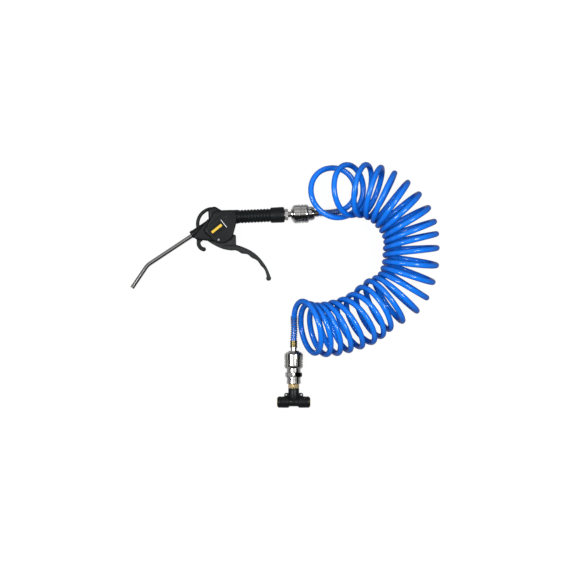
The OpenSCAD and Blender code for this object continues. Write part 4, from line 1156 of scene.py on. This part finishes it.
def table_top():
    """A pale table: white to the camera with a faint shadow, dim where a far piece mirrors it."""
    bm = bmesh.new()
    bmesh.ops.create_grid(bm, x_segments=1, y_segments=1, size=4.0)
    mesh = bpy.data.meshes.new("table_top")
    bm.to_mesh(mesh)
    bm.free()
    top = bpy.data.objects.new("table_top", mesh)
    top.location = (0, 0, -0.0003)
    show(top)
    material = bpy.data.materials.new("table_white")
    material.use_nodes = True
    tree = material.node_tree
    tree.nodes.clear()
    matte = plain_shader(tree, "ShaderNodeBsdfDiffuse", TABLE_GREY)
    glow = plain_shader(tree, "ShaderNodeEmission", 1, TABLE_GLOW)
    dark = plain_shader(tree, "ShaderNodeEmission", 1, 0.0)
    rays = tree.nodes.new("ShaderNodeLightPath")
    share = math_node(tree, "MULTIPLY", rays.outputs["Is Camera Ray"], GLOW_SHARE)
    pale = either(tree, share, matte.outputs[0], glow.outputs[0])
    dim = tree.nodes.new("ShaderNodeMapRange")
    dim.inputs["From Min"].default_value = FALL_NEAR
    dim.inputs["From Max"].default_value = FALL_FAR
    dim.inputs["To Max"].default_value = FALL_SHARE
    tree.links.new(rays.outputs["Ray Length"], dim.inputs["Value"])
    fall = math_node(tree, "MULTIPLY", dim.outputs["Result"], rays.outputs["Is Glossy Ray"])
    out = tree.nodes.new("ShaderNodeOutputMaterial")
    tree.links.new(either(tree, fall, pale, dark.outputs[0]), out.inputs["Surface"])
    mesh.materials.append(material)


def studio_world():
    """White to the camera, even as soft light, and in reflections a dark room with a soft box."""
    world = bpy.data.worlds.new("studio")
    bpy.context.scene.world = world
    world.use_nodes = True
    tree = world.node_tree
    tree.nodes.clear()
    axes = tree.nodes.new("ShaderNodeSeparateXYZ")
    tree.links.new(tree.nodes.new("ShaderNodeTexCoord").outputs["Generated"], axes.inputs[0])
    x, y, z = axes.outputs
    upright = math_node(tree, "MAXIMUM", z, LEAST_HEIGHT)

    def place_on(way):
        quarter = math_node(tree, "MULTIPLY", math_node(tree, "DIVIDE", way, upright), 0.25)
        return math_node(tree, "ADD", quarter, 0.5)

    across, along = place_on(x), place_on(y)
    box = math_node(
        tree, "MULTIPLY", tone_ramp(tree, across, BOX_ACROSS), tone_ramp(tree, along, BOX_ALONG))
    bars = math_node(
        tree, "MULTIPLY", tone_ramp(tree, across, BARS_ACROSS), tone_ramp(tree, along, BARS_ALONG))
    low = math_node(tree, "ADD", math_node(tree, "MULTIPLY", x, WALL_LEAN), z)
    lit = math_node(tree, "ADD", math_node(tree, "ADD", box, bars), tone_ramp(tree, low, WALL))
    even, mirror, white = (
        plain_shader(tree, "ShaderNodeBackground", 1, light) for light in (EVEN_LIGHT, 1.0, 1.0)
    )
    tree.links.new(lit, mirror.inputs["Strength"])
    rays = tree.nodes.new("ShaderNodeLightPath")
    unseen = either(tree, rays.outputs["Is Glossy Ray"], even.outputs[0], mirror.outputs[0])
    whole = either(tree, rays.outputs["Is Camera Ray"], unseen, white.outputs[0])
    out = tree.nodes.new("ShaderNodeOutputWorld")
    tree.links.new(whole, out.inputs["Surface"])


def soft_lamp(name, place):
    """A rectangular lamp that faces the part."""
    light = bpy.data.lights.new(name, "AREA")
    light.shape = "RECTANGLE"
    light.size, light.size_y = LAMP_SIZE
    light.energy = LAMP_POWER
    lamp = bpy.data.objects.new(name, light)
    lamp.location = place
    lamp.rotation_euler = (Vector(LAMP_TARGET) - Vector(place)).to_track_quat("-Z", "Y").to_euler()
    show(lamp)


table_top()
studio_world()
for lamp_name, lamp_place in LAMPS.items():
    soft_lamp(lamp_name, lamp_place)

bpy.context.scene.view_settings.view_transform = "Standard"
